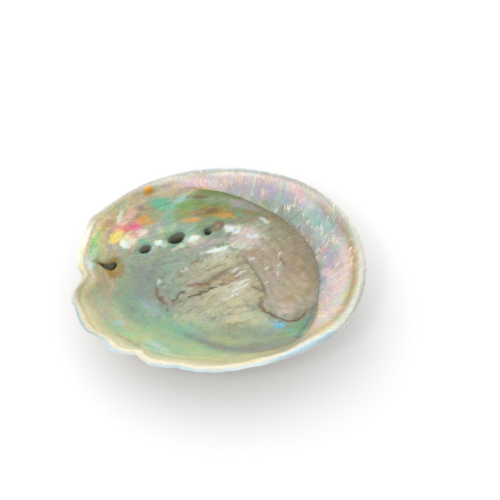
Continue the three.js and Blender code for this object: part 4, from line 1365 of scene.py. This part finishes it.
def noise(coordinates, size, detail=3.0, stretch=(1, 1, 1), rough=0.55, distortion=0.0):
    """Noise of about a given size, in the units of its coordinates, drawn out if stretched."""
    shrink = tuple(1 / (size * s) for s in stretch)
    scaled = put("ShaderNodeMapping", {"Vector": coordinates, "Scale": shrink}).outputs[0]
    inputs = {"Vector": scaled, "Scale": 1.0, "Detail": detail, "Roughness": rough, "Distortion": distortion}
    return put("ShaderNodeTexNoise", inputs).outputs[0]


def ramp(value, stops):
    """Colours or greys along a value."""
    made = put("ShaderNodeValToRGB", {0: value})
    made.color_ramp.interpolation = "LINEAR"
    elements = made.color_ramp.elements
    while len(elements) < len(stops):
        elements.new(0.5)
    for element, (at, colour) in zip(elements, stops):
        element.position = at
        element.color = (*(colour if np.ndim(colour) else (colour,) * 3), 1)
    return made.outputs[0]


def attribute(name):
    """A layer stored on the mesh's points."""
    return put("ShaderNodeAttribute", attribute_name=name, attribute_type="GEOMETRY")


painted = attribute("paint")
areas = put("ShaderNodeSeparateColor", {0: attribute("regions").outputs["Color"]})
inside_mask, scar_mask, shelf_mask = areas.outputs[:3]
pearl_mask = attribute("regions").outputs["Alpha"]
lobe_areas = put("ShaderNodeSeparateColor", {0: attribute("lobes").outputs["Color"]})
lobe_mask, floor_mask, lobe_border_mask = lobe_areas.outputs[:3]
flow_coordinates = attribute("flow").outputs["Vector"]
object_coordinates = put("ShaderNodeTexCoord").outputs["Object"]
object_mm = put("ShaderNodeMapping", {"Vector": object_coordinates, "Scale": (1000,) * 3}).outputs[0]
print("layers read so far: paint, regions, lobes, flow")

# %% Nacre: a slow rainbow, broken into strokes
RAINBOW = [
    (0.00, (0.94, 0.74, 0.76)), (0.14, (0.96, 0.80, 0.62)),
    (0.28, (0.86, 0.88, 0.60)), (0.42, (0.66, 0.92, 0.68)),
    (0.56, (0.62, 0.90, 0.86)), (0.70, (0.66, 0.78, 0.98)),
    (0.85, (0.84, 0.70, 0.94)), (1.00, (0.94, 0.74, 0.76)),
]
RAINBOW_GAIN = (1.2, 1.2, 1.2, 1)
strokes = noise(flow_coordinates, 1.0, 4, (0.9, 0.9, 4.2), 0.62, 1.2)
bands_along = noise(flow_coordinates, 1.0, 3, (26, 26, 1.4), 0.6, 0.3)
clouds = noise(object_mm, 7.0, 4, (1, 1, 1), 0.6, 0.8)
shimmer_wave = attribute("shimmer").outputs["Fac"]
floor_wave = math_node("ADD", bands_along, clouds)
shelf_wave = math_node("ADD", math_node("MULTIPLY", strokes, 0.35), math_node("MULTIPLY", clouds, 1.3))
local_wave = mix_values(shelf_mask, floor_wave, shelf_wave)
wave = math_node("ADD", math_node("MULTIPLY", shimmer_wave, 0.30), local_wave)
hues = ramp(math_node("FRACT", wave), RAINBOW)
lit_hues = blend(hues, RAINBOW_GAIN, 1.0, "MULTIPLY")
base_colour = painted.outputs["Color"]
nacre = blend(base_colour, blend(base_colour, lit_hues, 1.0, "MULTIPLY"), pearl_mask)
stroke_shade = ramp(strokes, [(0.36, 0.80), (0.5, 1.0), (0.68, 1.0)])
nacre = blend(nacre, stroke_shade, math_node("MULTIPLY", shelf_mask, 0.8), "MULTIPLY")
# Painted highlights: pale ivory glint strokes on the shelf, in the base colour.
glint_places = ramp(clouds, [(0.46, 0.0), (0.58, 1.0)])
glint_strokes = math_node("MULTIPLY", ramp(strokes, [(0.54, 0.0), (0.63, 1.0)]), glint_places)
glint_cover = math_node("MULTIPLY", glint_strokes, math_node("MULTIPLY", shelf_mask, 0.9))
nacre = blend(nacre, solid("ivory"), glint_cover)

WISP_TURN = math.radians(-17)
wisp_coordinates = put("ShaderNodeMapping", {"Vector": object_mm, "Rotation": (0, 0, WISP_TURN)}).outputs[0]
wisps = noise(wisp_coordinates, 1.0, 5, (7.0, 1.3, 3.0), 0.65, 0.9)
object_y = put("ShaderNodeSeparateXYZ", {0: object_mm}).outputs[1]
hole_side = put("ShaderNodeMapRange", {0: object_y, 1: -12.0, 2: 18.0, 3: 0.25, 4: 1.0}).outputs[0]
off_shelf = math_node("SUBTRACT", 1.0, shelf_mask)
open_nacre = math_node("MULTIPLY", off_shelf, math_node("MULTIPLY", floor_mask, hole_side))
wisp_shade = ramp(wisps, [(0.34, 0.72), (0.48, 0.97), (0.60, 1.10), (0.70, 1.32)])
nacre = blend(nacre, wisp_shade, math_node("MULTIPLY", open_nacre, 0.8), "MULTIPLY")

# %% Scar: fibres, brown grooves and pale threads, partly painted highlights
fibre_rotation = (0, 0, math.radians(-FIBRE_TURN))
turned = put("ShaderNodeMapping", {"Vector": object_mm, "Rotation": fibre_rotation}).outputs[0]
thread_noise = noise(turned, 1.0, 5, (9.0, 0.9, 3.0), 0.65, 0.5)
coarse_thread_noise = noise(turned, 1.0, 4, (12.0, 2.4, 3.0), 0.6, 0.8)
grooves = ramp(thread_noise, [(0.30, 1.0), (0.43, 0.0)])
brown_places = ramp(coarse_thread_noise, [(0.47, 1.0), (0.57, 0.0)])
groove_mask = math_node("MULTIPLY", math_node("MULTIPLY", grooves, brown_places), scar_mask)
scarred = blend(nacre, solid("bark"), math_node("MULTIPLY", groove_mask, 0.8))
# Partly painted highlights: pale ivory threads along the fibres, their colour and their glints.
pale_threads_and_glints = math_node("MULTIPLY", ramp(thread_noise, [(0.55, 0.0), (0.70, 1.0)]), scar_mask)
scarred = blend(scarred, solid("ivory"), math_node("MULTIPLY", pale_threads_and_glints, 0.45))

# %% Lobe: pale flecks, mottling and a ragged brown border
grit = noise(object_mm, 1.6, 5, (1, 1, 1), 0.7, 0.3)
FLECKS_PER_MM = 0.32
fleck_cells = put("ShaderNodeTexVoronoi", {"Vector": object_mm, "Scale": FLECKS_PER_MM}, feature="F1")
fleck = fleck_cells.outputs["Distance"]
fleck_mask = math_node("MULTIPLY", ramp(fleck, [(0.05, 1.0), (0.13, 0.0)]), lobe_mask)
lobed = blend(scarred, solid("ivory"), math_node("MULTIPLY", fleck_mask, 0.6))
border_mask = math_node("MULTIPLY", lobe_border_mask, ramp(grit, [(0.44, 0.0), (0.56, 1.0)]))
lobed = blend(lobed, solid("bark"), math_node("MULTIPLY", border_mask, 0.35))
mottle = ramp(grit, [(0.36, 0.78), (0.5, 1.0), (0.66, 1.12)])
inside_colour = blend(lobed, mottle, 0.5, "MULTIPLY")

# %% Back: growth lines and grit
growth_lines = noise(flow_coordinates, 1.0, 4, (14, 14, 0.9), 0.65, 0.3)
crust = noise(object_mm, 2.4, 6, (1, 1, 1), 0.7, 0.2)
line_shade = ramp(growth_lines, [(0.34, 0.40), (0.5, 0.92), (0.66, 1.2)])
back_colour = blend(base_colour, line_shade, 0.85, "MULTIPLY")
crust_shade = ramp(crust, [(0.36, 0.6), (0.52, 1.0), (0.68, 1.2)])
back_colour = blend(back_colour, crust_shade, 0.6, "MULTIPLY")
shell_colour = blend(back_colour, inside_colour, inside_mask)

# %% Surface: roughness and bump
inside_rough = math_node("ADD", 0.34, math_node("MULTIPLY", scar_mask, 0.16))
inside_rough = math_node("ADD", inside_rough, math_node("MULTIPLY", math_node("SUBTRACT", grit, 0.5), 0.25))
back_rough = math_node("ADD", 0.62, math_node("MULTIPLY", math_node("SUBTRACT", crust, 0.5), 0.5))
rough_mix = mix_values(inside_mask, back_rough, inside_rough)

thread_height = math_node("ADD", thread_noise, math_node("MULTIPLY", grit, 0.5))
scar_height = math_node("MULTIPLY", thread_height, scar_mask)
shelf_height = math_node("MULTIPLY", strokes, math_node("MULTIPLY", shelf_mask, 0.7))
lobe_grit = math_node("MULTIPLY", lobe_mask, 0.25)
lobe_share = math_node("ADD", lobe_grit, math_node("MULTIPLY", lobe_border_mask, 0.6))
lobe_height = math_node("MULTIPLY", grit, lobe_share)
soft_height = math_node("MULTIPLY", math_node("ADD", clouds, bands_along), 0.12)
feature_height = math_node("ADD", scar_height, shelf_height)
inside_height = math_node("ADD", feature_height, math_node("ADD", lobe_height, soft_height))
back_bump = math_node("ADD", math_node("MULTIPLY", growth_lines, 1.8), math_node("MULTIPLY", crust, 2.4))
height_mix = mix_values(inside_mask, back_bump, inside_height)
bump = put("ShaderNodeBump", {"Height": height_mix, "Strength": 0.5, "Distance": 0.35 * MM})

coat = math_node("MULTIPLY", inside_mask, 0.30)
surface = put("ShaderNodeBsdfPrincipled", {
    "Base Color": shell_colour, "Roughness": rough_mix, "Normal": bump.outputs[0], "IOR": 1.55,
    "Coat Weight": coat, "Coat Roughness": 0.18, "Specular IOR Level": 0.5,
})
put("ShaderNodeOutputMaterial", {"Surface": surface.outputs[0]})
print("material nodes:", len(tree.nodes))

# %% [markdown]
# ## Floor and light
#
# A pale floor and a broad white sky keep the picture light and the shadows soft. One
# large lamp behind the shell brightens the near wall and leaves the wall under the far
# rim darker. A small lamp adds a little gloss. The bright white marks by the holes, on the
# shelf and on the scar are painted highlights, laid above, and not this lamp's reflections.

# %% Floor and light


FLOOR_HALF = 3.0
FLOOR_WHITE = (0.97, 0.97, 0.97, 1)
KEY_LAMP = dict(place=(-0.35, 0.55, 0.85), size=1.1, power=3.3)
GLINT_LAMP = dict(place=(-0.30, -0.25, 0.9), size=0.12, power=0.6)
SKY_STRENGTH = 0.92


def make_floor():
    """A wide plain sheet for the shell to rest on."""
    mesh = bpy.data.meshes.new("floor")
    far = FLOOR_HALF
    corners = [(-far, -far, 0), (far, -far, 0), (far, far, 0), (-far, far, 0)]
    mesh.from_pydata(corners, [], [(0, 1, 2, 3)])
    floor = bpy.data.objects.new("floor", mesh)
    bpy.context.scene.collection.objects.link(floor)
    paper = bpy.data.materials.new("white_paper")
    paper.use_nodes = True
    shader = paper.node_tree.nodes["Principled BSDF"]
    shader.inputs["Base Color"].default_value = FLOOR_WHITE
    shader.inputs["Roughness"].default_value = 0.9
    mesh.materials.append(paper)
    floor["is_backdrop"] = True


def make_lamp(name, place, size, power):
    """A square area lamp that looks at the shell."""
    data = bpy.data.lights.new(name, "AREA")
    data.size = size
    data.energy = power
    lamp = bpy.data.objects.new(name, data)
    lamp.location = place
    lamp.rotation_euler = (Vector((0, 0, 0.02)) - Vector(place)).to_track_quat("-Z", "Y").to_euler()
    bpy.context.scene.collection.objects.link(lamp)


make_floor()
make_lamp("key_lamp", **KEY_LAMP)
make_lamp("glint_lamp", **GLINT_LAMP)
world = bpy.data.worlds.new("sky")
world.use_nodes = True
world.node_tree.nodes["Background"].inputs["Color"].default_value = (1, 1, 1, 1)
world.node_tree.nodes["Background"].inputs["Strength"].default_value = SKY_STRENGTH
bpy.context.scene.world = world
bpy.context.scene.view_settings.view_transform = "Standard"
print("lamps: key and glint")

# %% Compare the finished shell with the measured box
VISUAL_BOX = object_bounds()
sizes = {"cad": [list(c) for c in CAD_BOX], "visual": [list(c) for c in VISUAL_BOX]}
corner_gaps = [abs(a - b) for p, q in zip(*sizes.values()) for a, b in zip(p, q)]
print("largest difference, mm:", round(1000 * max(corner_gaps), 2))
